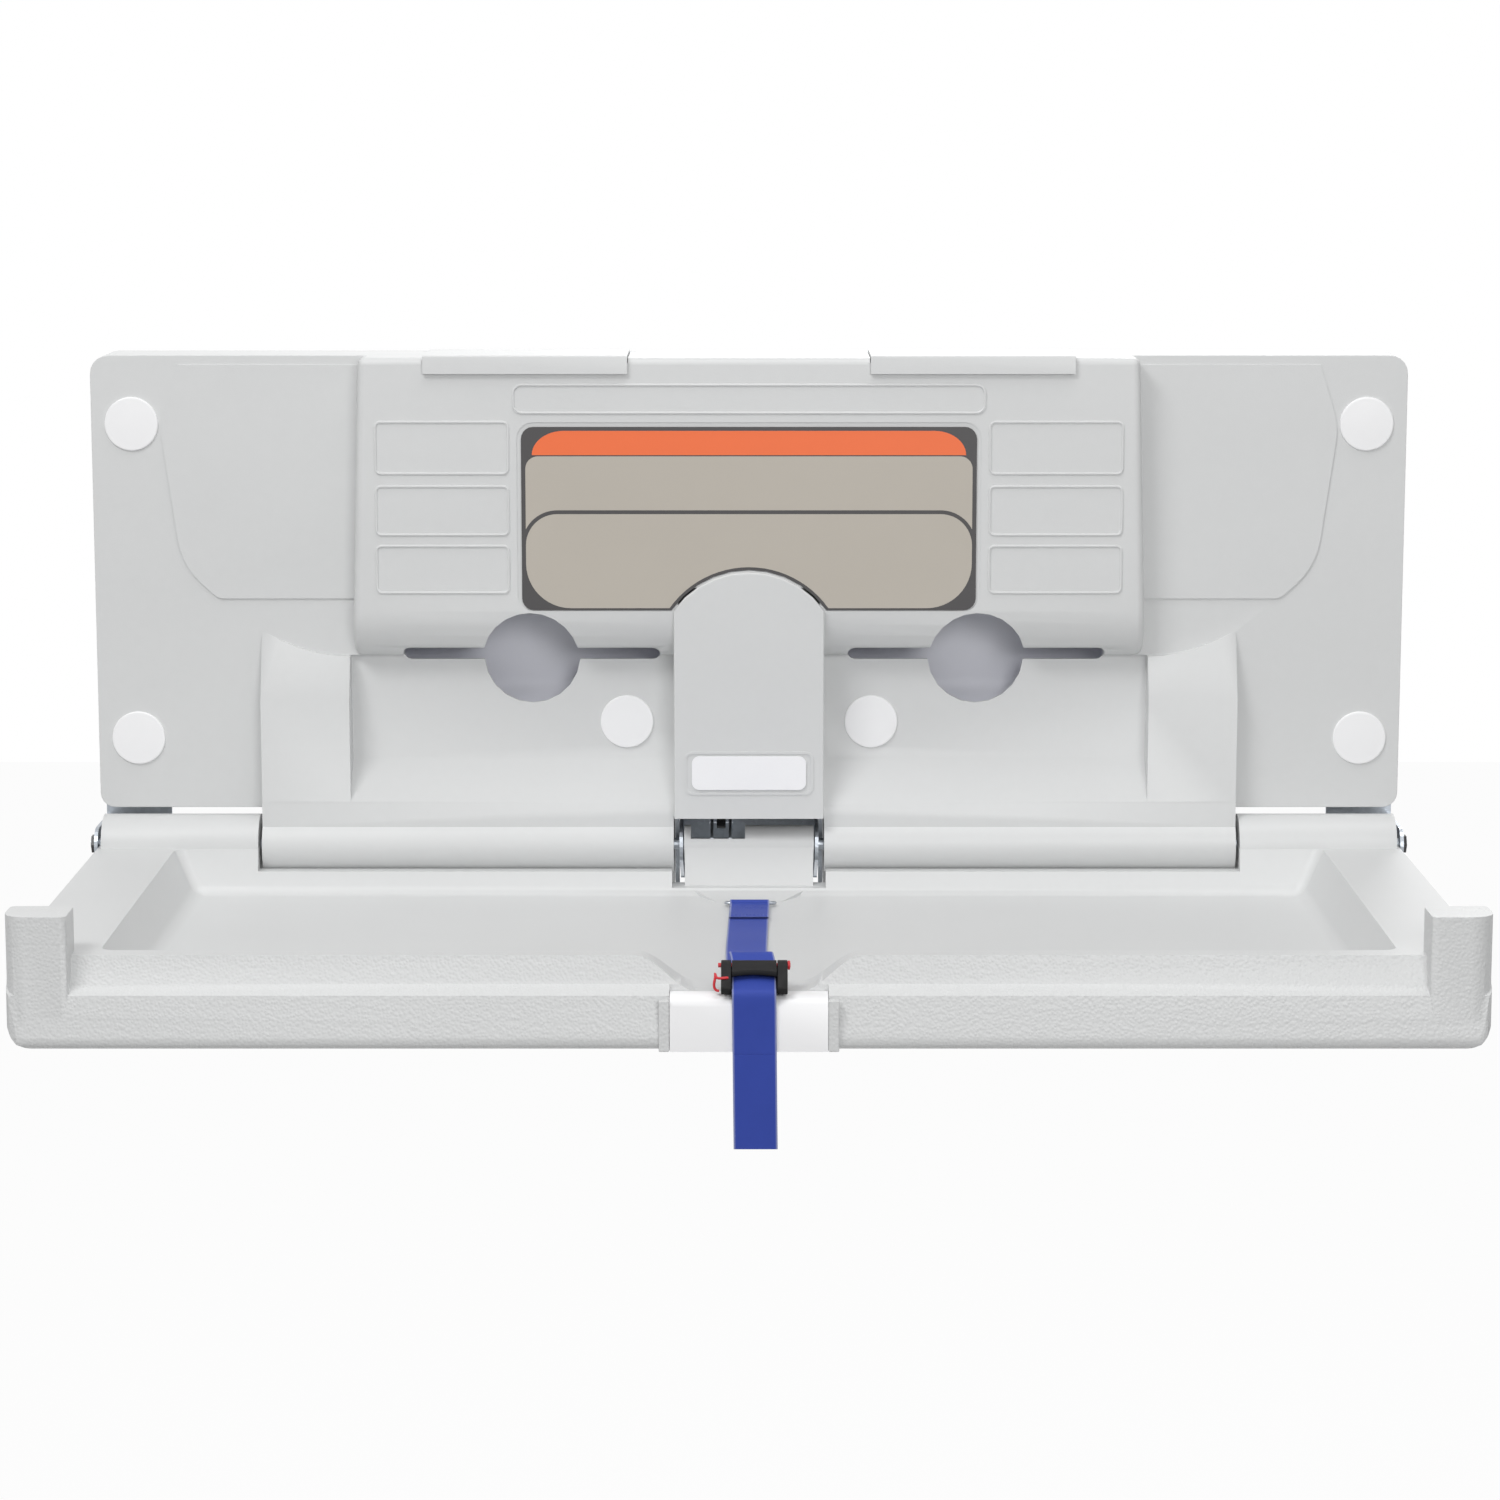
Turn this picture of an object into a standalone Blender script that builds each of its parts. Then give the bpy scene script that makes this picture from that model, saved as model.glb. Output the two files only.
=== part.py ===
# Wall-mounted baby changing station with a fold-down bed.
# Metres. +Z is up, +X is the viewer's right, and the wall is the plane Y = 0 with the station in front of it.
# The origin lies on the wall plane, midway across, level with the bed's hinge line.
import math

import bmesh
import bpy
from mathutils import Matrix, Vector

for old in list(bpy.data.objects):
    bpy.data.objects.remove(old, do_unlink=True)

# General clearances and wall thicknesses
GAP = 0.0003
RUNNING_GAP = 0.0004
OVERRUN = 0.02
WALL = 0.003
WELD = 0.000001
ROUND_SIDES = 32
CAP_SIDES = 24
SMALL_SIDES = 16
ARC_STEPS = 5
FINE_STEPS = 3
BEVEL_STEPS = 3

# Wall body, heights measured from the hinge line and depths from the wall
BODY_WIDTH = 0.884
BODY_HALF = BODY_WIDTH / 2
BODY_TOP = 0.332
BODY_CORNER = 0.0125
WING_BOTTOM = 0.0245
WING_CORNER = 0.010
WING_DEPTH = 0.050
WING_ROUND = 0.006
PANEL_RISE = 0.0012
PANEL_OUTER = BODY_HALF - 0.046
PANEL_SHOULDER = BODY_HALF - 0.059
PANEL_FOOT = BODY_HALF - 0.083
PANEL_WIDEST = 0.285
PANEL_LOW = 0.190
PANEL_BOTTOM = 0.168
PANEL_BOW = 0.05

# Liner housing; what stands across the body is given as its share of the body's width
HOUSING_TOP_WIDTH = BODY_WIDTH * 0.58937
HOUSING_LOW_WIDTH = BODY_WIDTH * 0.60294
HOUSING_DEPTH = 0.074
HOUSING_ROUND = 0.005
HOUSING_CURVE_TOP = 0.162
HOUSING_CREASE = 0.129
HOUSING_TOP_WALL = 0.0075

# Lower body, its recess and its buttresses
LOWER_WIDTH = BODY_WIDTH * 0.74661
LOWER_HALF = LOWER_WIDTH / 2
LOWER_BOTTOM = -0.035
LOWER_BACK_DEPTH = 0.041
RECESS_DEPTH = 0.045
RECESS_HALF = BODY_WIDTH * 0.30543
RIDGE_TOP = 0.057
RIDGE_FRONT_HEIGHT = 0.030
RIDGE_DEPTH = 0.067
BUTTRESS_DEPTH = 0.066
BUTTRESS_PEAK = 0.146
BUTTRESS_SLOPE_END = 0.100

# Tower over the gas strut
TOWER_WIDTH = 0.101
TOWER_DEPTH = 0.078
TOWER_BOTTOM = 0.0215
TOWER_SHOULDER = 0.163
TOWER_TOP = 0.189
TOWER_ROUND = 0.004
TOWER_CAVITY_TOP = 0.178

# Hinge line
HINGE_DEPTH = 0.054
BARREL_RADIUS = 0.019
ROD_RADIUS = 0.004
ROD_HOLE_RADIUS = ROD_RADIUS + RUNNING_GAP
CENTRE_OPENING_WIDTH = 0.102
KNUCKLE_RADIUS = 0.0205
KNUCKLE_INNER = LOWER_HALF + 0.0025
KNUCKLE_OUTER = BODY_HALF - 0.0030
CENTRE_KNUCKLE_RADIUS = 0.0128
CENTRE_KNUCKLE_WIDTH = 0.088
SLEEVE_RADIUS = 0.0075
SLEEVE_WALL = 0.0015
SLEEVE_INSET = 0.002
BUSH_LENGTH = 0.010
NUT_RADIUS = 0.0065
NUT_THICKNESS = 0.0026
ROD_END_PROUD = 0.0004

# Lids and liner bins
LID_CENTRE = BODY_WIDTH * 0.16855
LID_WIDTH = BODY_WIDTH * 0.15385
LID_THICKNESS = 0.0040
LID_PROUD = 0.0015
LID_FRONT_DEPTH = 0.0772
LID_LIP_HEIGHT = 0.0122
LID_LIP_THICKNESS = 0.0026
LID_ROUND = 0.0012
LID_PIN_DEPTH = 0.0095
LID_PIN_RADIUS = 0.0010
LID_BARREL_RADIUS = 0.0026
LID_PIN_SEAT = 0.004
LID_GAP = 0.0010
LID_REBATE_BACK = 0.0045
LID_MOUTH_INSET = 0.007
BIN_WALL = 0.0018
BIN_BACK_DEPTH = 0.0105
BIN_HALF = BODY_WIDTH * 0.10238
BIN_BOTTOM = 0.088
BIN_FLOOR_ROUND = 0.020
BIN_TOE_ROUND = 0.005

# Liner outlets: a round opening with a slot to each side
OUTLET_LEFT = BODY_WIDTH * -0.16629
OUTLET_RIGHT = BODY_WIDTH * 0.17387
OUTLET_HEIGHT = 0.1285
OUTLET_RADIUS = 0.0325
OUTLET_SLOT_HALF = BODY_WIDTH * 0.09842
OUTLET_SLOT_HEIGHT = 0.0100
OUTLET_SLOT_RISE = 0.0025

# Raised frames, label and centre plate
FRAME_LINE = 0.0016
FRAME_RISE = 0.0007
TITLE_HALF = BODY_WIDTH * 0.17873
TITLE_BOTTOM = 0.2945
TITLE_TOP = 0.3147
TITLE_CORNER = 0.006
TABLET_INNER = BODY_WIDTH * 0.18100
TABLET_OUTER = BODY_WIDTH * 0.28281
TABLET_BOTTOMS = (0.1740, 0.2130, 0.2540)
TABLET_TOPS = (0.2070, 0.2470, 0.2900)
TABLET_CORNER = 0.004
LABEL_HALF = BODY_WIDTH * 0.17195
LABEL_BOTTOM = 0.163
LABEL_TOP = 0.286
LABEL_CORNER = 0.008
LABEL_THICKNESS = 0.0008
LABEL_RECESS = 0.0006
LABEL_MARGIN = 0.0030
LABEL_FOOT_MARGIN = 0.0005
LABEL_ARCH_GAP = 0.0012
PLATE_FRAME_HALF = 0.0435
PLATE_FRAME_BOTTOM = 0.0380
PLATE_FRAME_TOP = 0.0675
PLATE_HALF = 0.0385
PLATE_BOTTOM = 0.0415
PLATE_TOP = 0.0645
PLATE_CORNER = 0.005
PLATE_THICKNESS = 0.0010

# Screw caps, as (across, height) of each centre
CAP_OUTER_X = BODY_HALF - 0.027
CAP_UPPER_Z = 0.2860
CAP_LOWER_Z = 0.0725
CAP_INNER_X = BODY_WIDTH * 0.09389
CAP_INNER_Z = 0.0830
CAP_RADIUS = 0.0180
CAP_THICKNESS = 0.0016
CAP_SKIRT_RADIUS = 0.0152
CAP_SKIRT_WALL = 0.0014
CAP_SKIRT_LENGTH = 0.0030
CAP_EDGE = 0.0006
FIXING_HOLE_RADIUS = 0.0045

# Back panel and its screws
BACK_THICKNESS = 0.003
PANEL_SCREW_RADIUS = 0.0018
PANEL_SCREW_LENGTH = 0.016
PANEL_SCREW_HEAD_RADIUS = 0.0036
PANEL_SCREW_HEAD = 0.0020
PANEL_SCREW_OUTER_X = BODY_HALF - 0.072
PANEL_SCREW_INNER_X = 0.0400
PANEL_SCREW_HIGH_Z = 0.3100
PANEL_SCREW_LOW_Z = 0.0450
BOSS_RADIUS = 0.0055

# Steel brackets on the wall side
STEEL = 0.0024
SIDE_BRACKET_INNER = BODY_HALF - 0.042
SIDE_BRACKET_TOP = 0.2600
EAR_RADIUS = 0.0115
EAR_INNER = BODY_HALF + 0.0006
U_BRACKET_OUTER = 0.0472
U_BRACKET_TOP = 0.0660
U_BRACKET_BOTTOM = -0.0330
U_CHEEK_RADIUS = 0.0135

# Gas strut and its crank
STRUT_X = -0.0190
CRANK_RADIUS = 0.0200
CRANK_ANGLE = math.radians(45.0)
CRANK_PIN_RADIUS = 0.0025
CRANK_PLATE = 0.0020
CRANK_LOBE = 0.0060
CRANK_HUB = 0.0095
CRANK_FORK_HALF = 0.0052
EYE_THICKNESS = 0.0060
EYE_WALL = 0.0026
EYE_SLACK = 0.0010
EYE_NECK_RADIUS = 0.0045
EYE_NECK_LENGTH = 0.0060
STRUT_ROD_RADIUS = 0.0030
STRUT_ROD_TOP = 0.1300
STRUT_PISTON_RADIUS = 0.0056
STRUT_PISTON_LENGTH = 0.0060
STRUT_TUBE_RADIUS = 0.0078
STRUT_TUBE_WALL = 0.0014
STRUT_TUBE_BOTTOM = 0.0600
STRUT_TUBE_TOP = 0.1520
STRUT_SEAL_LENGTH = 0.0080
STRUT_TONGUE_RADIUS = 0.0052
STRUT_TONGUE_THICKNESS = 0.0050
STRUT_TOP_PIN_Z = 0.1600
STRUT_TOP_PIN_RADIUS = 0.0022
STRUT_TOP_PLATE = 0.0020
STRUT_TOP_BRACKET_HIGH = 0.1740
STRUT_TOP_BRACKET_LOW = 0.1460

# Bed, as distance in front of the hinge line and height from it
BED_WIDTH = BODY_WIDTH - 0.001
BED_HALF = BED_WIDTH / 2
BED_REAR = 0.0085
BED_REAR_ROUND = 0.008
BED_FRONT_TOP = 0.362
BED_FACE_FOOT = 0.366
BED_FACE_HEIGHT = 0.0165
BED_LEDGE = 0.376
BED_LEDGE_HEIGHT = 0.0215
BED_FRONT = 0.382
BED_HEIGHT = 0.054
BED_SIDE_ROUND = 0.018
BED_FRONT_ROUND = 0.007
BED_PLAN_CORNER = 0.014
TRAY_DEPTH = 0.030
TRAY_HALF = BED_HALF - 0.0530
TRAY_FLOOR_HALF = BED_HALF - 0.0675
TRAY_FRONT = 0.347
TRAY_FLOOR_FRONT = 0.333
TRAY_REAR = 0.0215
TRAY_FLOOR_REAR = 0.030
TRAY_ROUND = 0.007
REAR_CLEARANCE = 0.0015
REAR_RIM_HEIGHT = -0.0145
REAR_RIM_REACH = 0.0360
TOWER_CLEARANCE_HALF = 0.0520
POST_WIDTH = 0.0380
POST_REAR = 0.345
POST_FRONT = 0.3785
POST_HEIGHT = 0.0265
POST_ROUND = 0.004
DIP_TOP_HALF = 0.068
DIP_FLOOR_HALF = 0.029
RAMP_HALF = 0.0435
RAMP_FOOT_HALF = 0.0180
RAMP_REACH = 0.055
RAMP_SHOULDER = 0.0200
RAMP_SHOULDER_HEIGHT = -0.0252
NOTCH_LOW_X = -0.0395
NOTCH_HIGH_X = -0.0027
NOTCH_FRONT = 0.0115
NOTCH_UNDER = -0.0075
NOTCH_SKIN = 0.0026
NOTCH_FLOOR = -0.045
PAN_THICKNESS = 0.003
PAN_INSET = 0.0240
INSERT_HALF = 0.0470
INSERT_THICKNESS = 0.0026
INSERT_PROUD = 0.0008
COLLAR_WIDTH = 0.0065
COLLAR_PROUD = 0.0014

# Crank bracket in the bed
BRACKET_REACH = 0.080
BRACKET_HEIGHT = 0.0095
BOLT_RADIUS = 0.0020
BOLT_HEAD_RADIUS = 0.0038
BOLT_HEAD = 0.0024
BOLT_NEAR = 0.052
BOLT_FAR = 0.070
BOLT_REACH = 0.0046

# Strap, its loop and its buckle
STRAP_WIDTH = 0.0262
STRAP_THICKNESS = 0.0012
LOOP_WIRE = 0.0010
LOOP_LENGTH = 0.0075
LOOP_WIDTH = 0.0330
LOOP_SEAT_NEAR = 0.0600
LOOP_SEAT_WIDTH = 0.0240
LOOP_SEAT_LENGTH = 0.0060
LOOP_SEAT_HEIGHT = 0.0036
STRAP_X = 0.0010
TAIL_END = -0.1130
TAIL_PIVOT_DROP = 0.0010
TAIL_SLACK = 0.0009
BUCKLE_WIDTH = 0.0395
BUCKLE_LENGTH = 0.0300
BUCKLE_NEAR = 0.3535
BUCKLE_LIFT = 0.0008
BUCKLE_TILT = math.radians(20.0)
BUCKLE_BASE = 0.0026
BUCKLE_EAR = 0.0060
BUCKLE_EAR_HEIGHT = 0.0098
BUCKLE_PIN_RADIUS = 0.0014
BUCKLE_PIN_BACK = 0.0080
BUCKLE_PIN_HEIGHT = 0.0068
BUCKLE_PIN_PROUD = 0.0018
BUCKLE_ROUND = 0.0006
LEVER_RADIUS = 0.0030
LEVER_LENGTH = 0.0125
LEVER_THICKNESS = 0.0026

# Values worked out from the sizes above
TOWER_HALF = TOWER_WIDTH / 2
OPENING_HALF = CENTRE_OPENING_WIDTH / 2
CENTRE_HALF = CENTRE_KNUCKLE_WIDTH / 2
WING_Y = -WING_DEPTH
HOUSING_Y = -HOUSING_DEPTH
TOWER_Y = -TOWER_DEPTH
HINGE_Y = -HINGE_DEPTH
RECESS_Y = -RECESS_DEPTH
CRANK_RISE = CRANK_RADIUS * math.sin(CRANK_ANGLE)
CRANK_SET_BACK = CRANK_RADIUS * math.cos(CRANK_ANGLE)
EYE_SLOT_HALF = (CRANK_RADIUS - CRANK_SET_BACK) / 2 + CRANK_PIN_RADIUS + EYE_SLACK
EYE_SLOT_HEIGHT = 2 * (CRANK_PIN_RADIUS + EYE_SLACK)
STRUT_Y = HINGE_Y + (CRANK_RADIUS + CRANK_SET_BACK) / 2
LID_AXIS_Z = BODY_TOP + LID_PROUD - LID_BARREL_RADIUS
LID_BOTTOM = BODY_TOP + LID_PROUD - LID_THICKNESS
LID_LIP_BOTTOM = BODY_TOP + LID_PROUD - LID_LIP_HEIGHT
REBATE_BOTTOM = LID_BOTTOM - LID_GAP
ARCH_RISE = TOWER_TOP - TOWER_SHOULDER
ARCH_RADIUS = (TOWER_HALF**2 + ARCH_RISE**2) / (2 * ARCH_RISE)
ARCH_CENTRE = TOWER_TOP - ARCH_RADIUS
BUCKLE_X = STRAP_X + STRAP_WIDTH / 12
SIDES = (("left", -1), ("right", 1))

scene = bpy.context.scene
station = bpy.data.collections.new("baby_changing_station")
construction = bpy.data.collections.new("construction")
scene.collection.children.link(station)
scene.collection.children.link(construction)


# Materials

def finish(name, colour, roughness, metallic=0.0):
    material = bpy.data.materials.new(name)
    material.use_nodes = True
    shader = material.node_tree.nodes["Principled BSDF"]
    shader.inputs["Base Color"].default_value = (*colour, 1.0)
    shader.inputs["Roughness"].default_value = roughness
    shader.inputs["Metallic"].default_value = metallic
    material.diffuse_color = (*colour, 1.0)
    return material


GREY = finish("grey_plastic", (0.62, 0.63, 0.63), 0.45)
WHITE = finish("white_plastic", (0.86, 0.87, 0.88), 0.35)
INNER = finish("liner_bin_grey", (0.50, 0.50, 0.54), 0.5)
LABEL = finish("label_film", (0.46, 0.42, 0.37), 0.4)
ZINC = finish("zinc_steel", (0.60, 0.62, 0.63), 0.35, 1.0)
DARK = finish("black_steel", (0.03, 0.03, 0.035), 0.4, 0.6)
BLACK = finish("black_nylon", (0.02, 0.02, 0.022), 0.4)
BLUE = finish("blue_webbing", (0.045, 0.075, 0.40), 0.4)
RED = finish("red_pin", (0.55, 0.02, 0.03), 0.4)
NYLON = finish("nylon_bush", (0.75, 0.74, 0.70), 0.5)


# Shape helpers

def add(name, mesh, material=None):
    piece = bpy.data.objects.new(name, mesh)
    if material:
        mesh.materials.append(material)
        station.objects.link(piece)
    else:
        construction.objects.link(piece)
        piece.hide_render = True
        piece.display_type = "WIRE"
    return piece


def arc(centre, radius, start, end, steps=ARC_STEPS):
    angles = [math.radians(start + (end - start) * i / steps) for i in range(steps + 1)]
    return [(centre[0] + radius * math.cos(a), centre[1] + radius * math.sin(a)) for a in angles]


def rounded(corners, steps=ARC_STEPS):
    """The outline through corners given as (u, v, radius), with each corner rounded."""
    points = []
    for i, (u, v, radius) in enumerate(corners):
        here = Vector((u, v))
        if not radius:
            points.append((u, v))
            continue
        back = (Vector(corners[i - 1][:2]) - here).normalized()
        ahead = (Vector(corners[(i + 1) % len(corners)][:2]) - here).normalized()
        half = back.angle(ahead) / 2
        start = here + back * (radius / math.tan(half))
        middle = here + (back + ahead).normalized() * (radius / math.sin(half))
        first = start - middle
        last = here + ahead * (radius / math.tan(half)) - middle
        turn = first.angle_signed(last)
        for step in range(steps + 1):
            angle = -turn * step / steps
            points.append(tuple(middle + Matrix.Rotation(angle, 2) @ first))
    return points


def box_outline(low_u, high_u, low_v, high_v, radius=0.0, steps=ARC_STEPS):
    corners = ((low_u, low_v), (high_u, low_v), (high_u, high_v), (low_u, high_v))
    return rounded([(u, v, radius) for u, v in corners], steps)


def circle(centre, radius, sides=SMALL_SIDES):
    return arc(centre, radius, 0.0, 360.0, sides)[:-1]


def stadium(centre, half_length, radius):
    """A slot's outline: two half circles and the straight sides between them."""
    reach = half_length - radius
    far = arc((centre[0] + reach, centre[1]), radius, -90.0, 90.0, ARC_STEPS * 2)
    near = arc((centre[0] - reach, centre[1]), radius, 90.0, 270.0, ARC_STEPS * 2)
    return far + near


# Each plane's outline axes and its normal, as the columns of a rotation
PLANES = {
    "XZ": Matrix(((1, 0, 0), (0, 0, -1), (0, 1, 0))),
    "YZ": Matrix(((0, 0, 1), (1, 0, 0), (0, 1, 0))),
    "XY": Matrix.Identity(3),
}
NORMAL_AXIS = {"XZ": "Y", "YZ": "X", "XY": "Z"}


def prism(name, outline, plane, low, high, material=None, turn=None, holes=()):
    """A flat outline filled and extruded from low to high along the axis that its plane leaves out."""
    curve = bpy.data.curves.new(name, "CURVE")
    curve.dimensions = "2D"
    curve.fill_mode = "BOTH"
    curve.extrude = (high - low) / 2
    for loop in (outline, *holes):
        spline = curve.splines.new("POLY")
        spline.points.add(len(loop) - 1)
        for point, (u, v) in zip(spline.points, loop):
            point.co = (u, v, 0.0, 1.0)
        spline.use_cyclic_u = True
    return meshed(name, curve, prism_place(plane, low, high, turn), material)


def prism_place(plane, low, high, turn):
    middle = Vector((0.0, 0.0, 0.0))
    middle["XYZ".index(NORMAL_AXIS[plane])] = (low + high) / 2
    place = Matrix.Translation(middle) @ PLANES[plane].to_4x4()
    return turn @ place if turn else place


def meshed(name, curve, place, material):
    """Turns a curve into a welded mesh in its place, with its faces pointing out."""
    guide = bpy.data.objects.new(name + "_curve", curve)
    scene.collection.objects.link(guide)
    bpy.context.view_layer.update()
    seen = guide.evaluated_get(bpy.context.evaluated_depsgraph_get())
    mesh = bpy.data.meshes.new_from_object(seen)
    bpy.data.objects.remove(guide, do_unlink=True)
    mesh.transform(place)
    tidy = bmesh.new()
    tidy.from_mesh(mesh)
    bmesh.ops.remove_doubles(tidy, verts=tidy.verts, dist=WELD)
    bmesh.ops.recalc_face_normals(tidy, faces=tidy.faces)
    tidy.to_mesh(mesh)
    tidy.free()
    mesh.name = name
    return add(name, mesh, material)


def block(name, lows, highs, material=None, turn=None):
    """A box between two corners."""
    shape = bmesh.new()
    bmesh.ops.create_cube(shape, size=1.0)
    size = Vector(highs) - Vector(lows)
    place = Matrix.Translation((Vector(lows) + Vector(highs)) / 2) @ Matrix.Diagonal((*size, 1.0))
    bmesh.ops.transform(shape, matrix=turn @ place if turn else place, verts=shape.verts)
    mesh = bpy.data.meshes.new(name)
    shape.to_mesh(mesh)
    shape.free()
    return add(name, mesh, material)


AXIS_TURN = {
    "X": Matrix.Rotation(math.radians(90.0), 4, "Y"),
    "Y": Matrix.Rotation(math.radians(-90.0), 4, "X"),
    "Z": Matrix.Identity(4),
}


def rod(name, axis, centre, low, high, radius, material=None, sides=ROUND_SIDES, turn=None):
    """A cylinder along an axis, from low to high; centre holds its other two coordinates."""
    shape = bmesh.new()
    bmesh.ops.create_cone(
        shape, cap_ends=True, segments=sides, radius1=radius, radius2=radius, depth=high - low
    )
    middle = list(centre)
    middle.insert("XYZ".index(axis), (low + high) / 2)
    place = Matrix.Translation(middle) @ AXIS_TURN[axis]
    bmesh.ops.transform(shape, matrix=turn @ place if turn else place, verts=shape.verts)
    mesh = bpy.data.meshes.new(name)
    shape.to_mesh(mesh)
    shape.free()
    mesh.shade_smooth()
    mesh.set_sharp_from_angle(angle=math.radians(40.0))
    return add(name, mesh, material)


def turned(name, profile, axis, place, material, sides=ROUND_SIDES):
    """A profile of (radius, height) points, top to bottom, turned about an axis through place."""
    mesh = bpy.data.meshes.new(name)
    points = [(radius, 0.0, height) for radius, height in profile]
    mesh.from_pydata(points, [(i, i + 1) for i in range(len(points) - 1)], [])
    piece = add(name, mesh, material)
    screw = piece.modifiers.new("turn", "SCREW")
    screw.steps = sides
    screw.render_steps = sides
    screw.use_merge_vertices = True
    screw.merge_threshold = WELD
    piece.location = place
    piece.rotation_euler = AXIS_TURN[axis].to_euler()
    return piece


def boolean(piece, other, operation):
    modifier = piece.modifiers.new(other.name, "BOOLEAN")
    modifier.operation = operation
    modifier.solver = "EXACT"
    modifier.object = other
    return piece


def cut(piece, *others):
    for other in others:
        boolean(piece, other, "DIFFERENCE")


def join(piece, *others):
    for other in others:
        boolean(piece, other, "UNION")


def keep(piece, *others):
    for other in others:
        boolean(piece, other, "INTERSECT")


def soften(piece, width, steps=BEVEL_STEPS, angle=50.0):
    bevel = piece.modifiers.new("rounding", "BEVEL")
    bevel.width = width
    bevel.segments = steps
    bevel.limit_method = "ANGLE"
    bevel.angle_limit = math.radians(angle)
    piece.modifiers.new("flat_faces", "TRIANGULATE")
    return piece


def raised_frame(name, low_u, high_u, low_v, high_v, corner, face):
    """A thin raised outline on a face at depth face, rooted in the wall behind it."""
    line = FRAME_LINE
    outer = box_outline(low_u, high_u, low_v, high_v, corner, FINE_STEPS)
    inner = box_outline(low_u + line, high_u - line, low_v + line, high_v - line, corner - line,
                        FINE_STEPS)
    return prism(name, outer, "XZ", face - FRAME_RISE, face + WALL / 2, holes=[inner])


# Wall body

def wing_outline(inset=0.0):
    return rounded((
        (-BODY_HALF + inset, WING_BOTTOM + inset, WING_CORNER - inset),
        (BODY_HALF - inset, WING_BOTTOM + inset, WING_CORNER - inset),
        (BODY_HALF - inset, BODY_TOP - inset, BODY_CORNER - inset),
        (-BODY_HALF + inset, BODY_TOP - inset, BODY_CORNER - inset),
    ))


def housing_profile(inset=0.0, top=BODY_TOP + OVERRUN, back=OVERRUN):
    """The housing in the YZ plane: a flat front that curves back to the crease."""
    front = HOUSING_Y + inset
    foot = RECESS_Y + inset
    low = HOUSING_CREASE + inset
    start = HOUSING_CURVE_TOP
    depth = foot - front
    fall = start - low
    sweep = [math.radians(90.0 * i / (ARC_STEPS + 1)) for i in range(ARC_STEPS + 2)]
    curve = [(foot - depth * math.cos(a), start - fall * math.sin(a)) for a in sweep]
    return [(back, top), (front, top), *curve, (back, low)]


def lower_profile(inset=0.0, back=OVERRUN):
    """The lower body in the YZ plane: recess wall, sloping ridge and the face above the barrel."""
    return [
        (back, HOUSING_CREASE + WALL - 2 * inset),
        (RECESS_Y + inset, HOUSING_CREASE + WALL - 2 * inset),
        (RECESS_Y + inset, RIDGE_TOP - inset / 3),
        (-RIDGE_DEPTH + inset, RIDGE_FRONT_HEIGHT - inset / 3),
        (-RIDGE_DEPTH + inset, BARREL_RADIUS / 3 if not inset else BARREL_RADIUS + inset),
        (-LOWER_BACK_DEPTH + inset * 3, BARREL_RADIUS / 3 if not inset else BARREL_RADIUS + inset),
        (-LOWER_BACK_DEPTH + inset * 3, LOWER_BOTTOM + inset),
        (back, LOWER_BOTTOM + inset),
    ]


def buttress(name, side):
    """A fin beside the recess that flares up and dies into the wing and the housing."""
    outer = side * LOWER_HALF
    inner = side * RECESS_HALF
    across = (LOWER_HALF - RECESS_HALF) * side
    flare = [
        (outer - across * t, HOUSING_CREASE + (BUTTRESS_PEAK - HOUSING_CREASE) * (1.0 - t) ** 2)
        for t in (i / ARC_STEPS for i in range(ARC_STEPS + 1))
    ]
    outline = [(inner, 0.0), (outer, 0.0), *flare]
    if side < 0:
        outline.reverse()
    fin = prism(name, outline, "XZ", -BUTTRESS_DEPTH, -LOWER_BACK_DEPTH / 2)
    slope = [
        (-LOWER_BACK_DEPTH / 3, BUTTRESS_PEAK + WALL),
        (WING_Y + WALL / 2, BUTTRESS_PEAK + WALL),
        (-BUTTRESS_DEPTH, BUTTRESS_SLOPE_END),
        (-BUTTRESS_DEPTH, -WALL),
        (-LOWER_BACK_DEPTH / 3, -WALL),
    ]
    low, high = sorted((outer + side * WALL, inner - side * WALL))
    keep(fin, prism(name + "_slope", slope, "YZ", low, high))
    return fin


def tower_outline(bottom):
    half = TOWER_HALF
    radius = ARCH_RADIUS
    reach = math.degrees(math.acos(half / radius))
    top = arc((0.0, ARCH_CENTRE), radius, reach, 180.0 - reach, ARC_STEPS * 2)
    return [(-half, bottom), (half, bottom), *top]


def outlet_outline(centre, grow=0.0):
    """The round outlet with its slots, grown outwards by grow."""
    radius = OUTLET_RADIUS + grow
    half = OUTLET_SLOT_HEIGHT / 2 + grow
    slot_z = OUTLET_HEIGHT + OUTLET_SLOT_RISE
    reach = OUTLET_SLOT_HALF + grow - half
    low = math.degrees(math.asin((OUTLET_SLOT_RISE - half) / radius))
    high = math.degrees(math.asin((OUTLET_SLOT_RISE + half) / radius))
    points = arc((centre, OUTLET_HEIGHT), radius, high, 180.0 - high, ARC_STEPS * 2)
    points += arc((centre - reach, slot_z), half, 90.0, 270.0, ARC_STEPS + 1)
    points += arc((centre, OUTLET_HEIGHT), radius, 180.0 - low, 360.0 + low, ARC_STEPS * 2)
    points += arc((centre + reach, slot_z), half, -90.0, 90.0, ARC_STEPS + 1)
    return points


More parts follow.
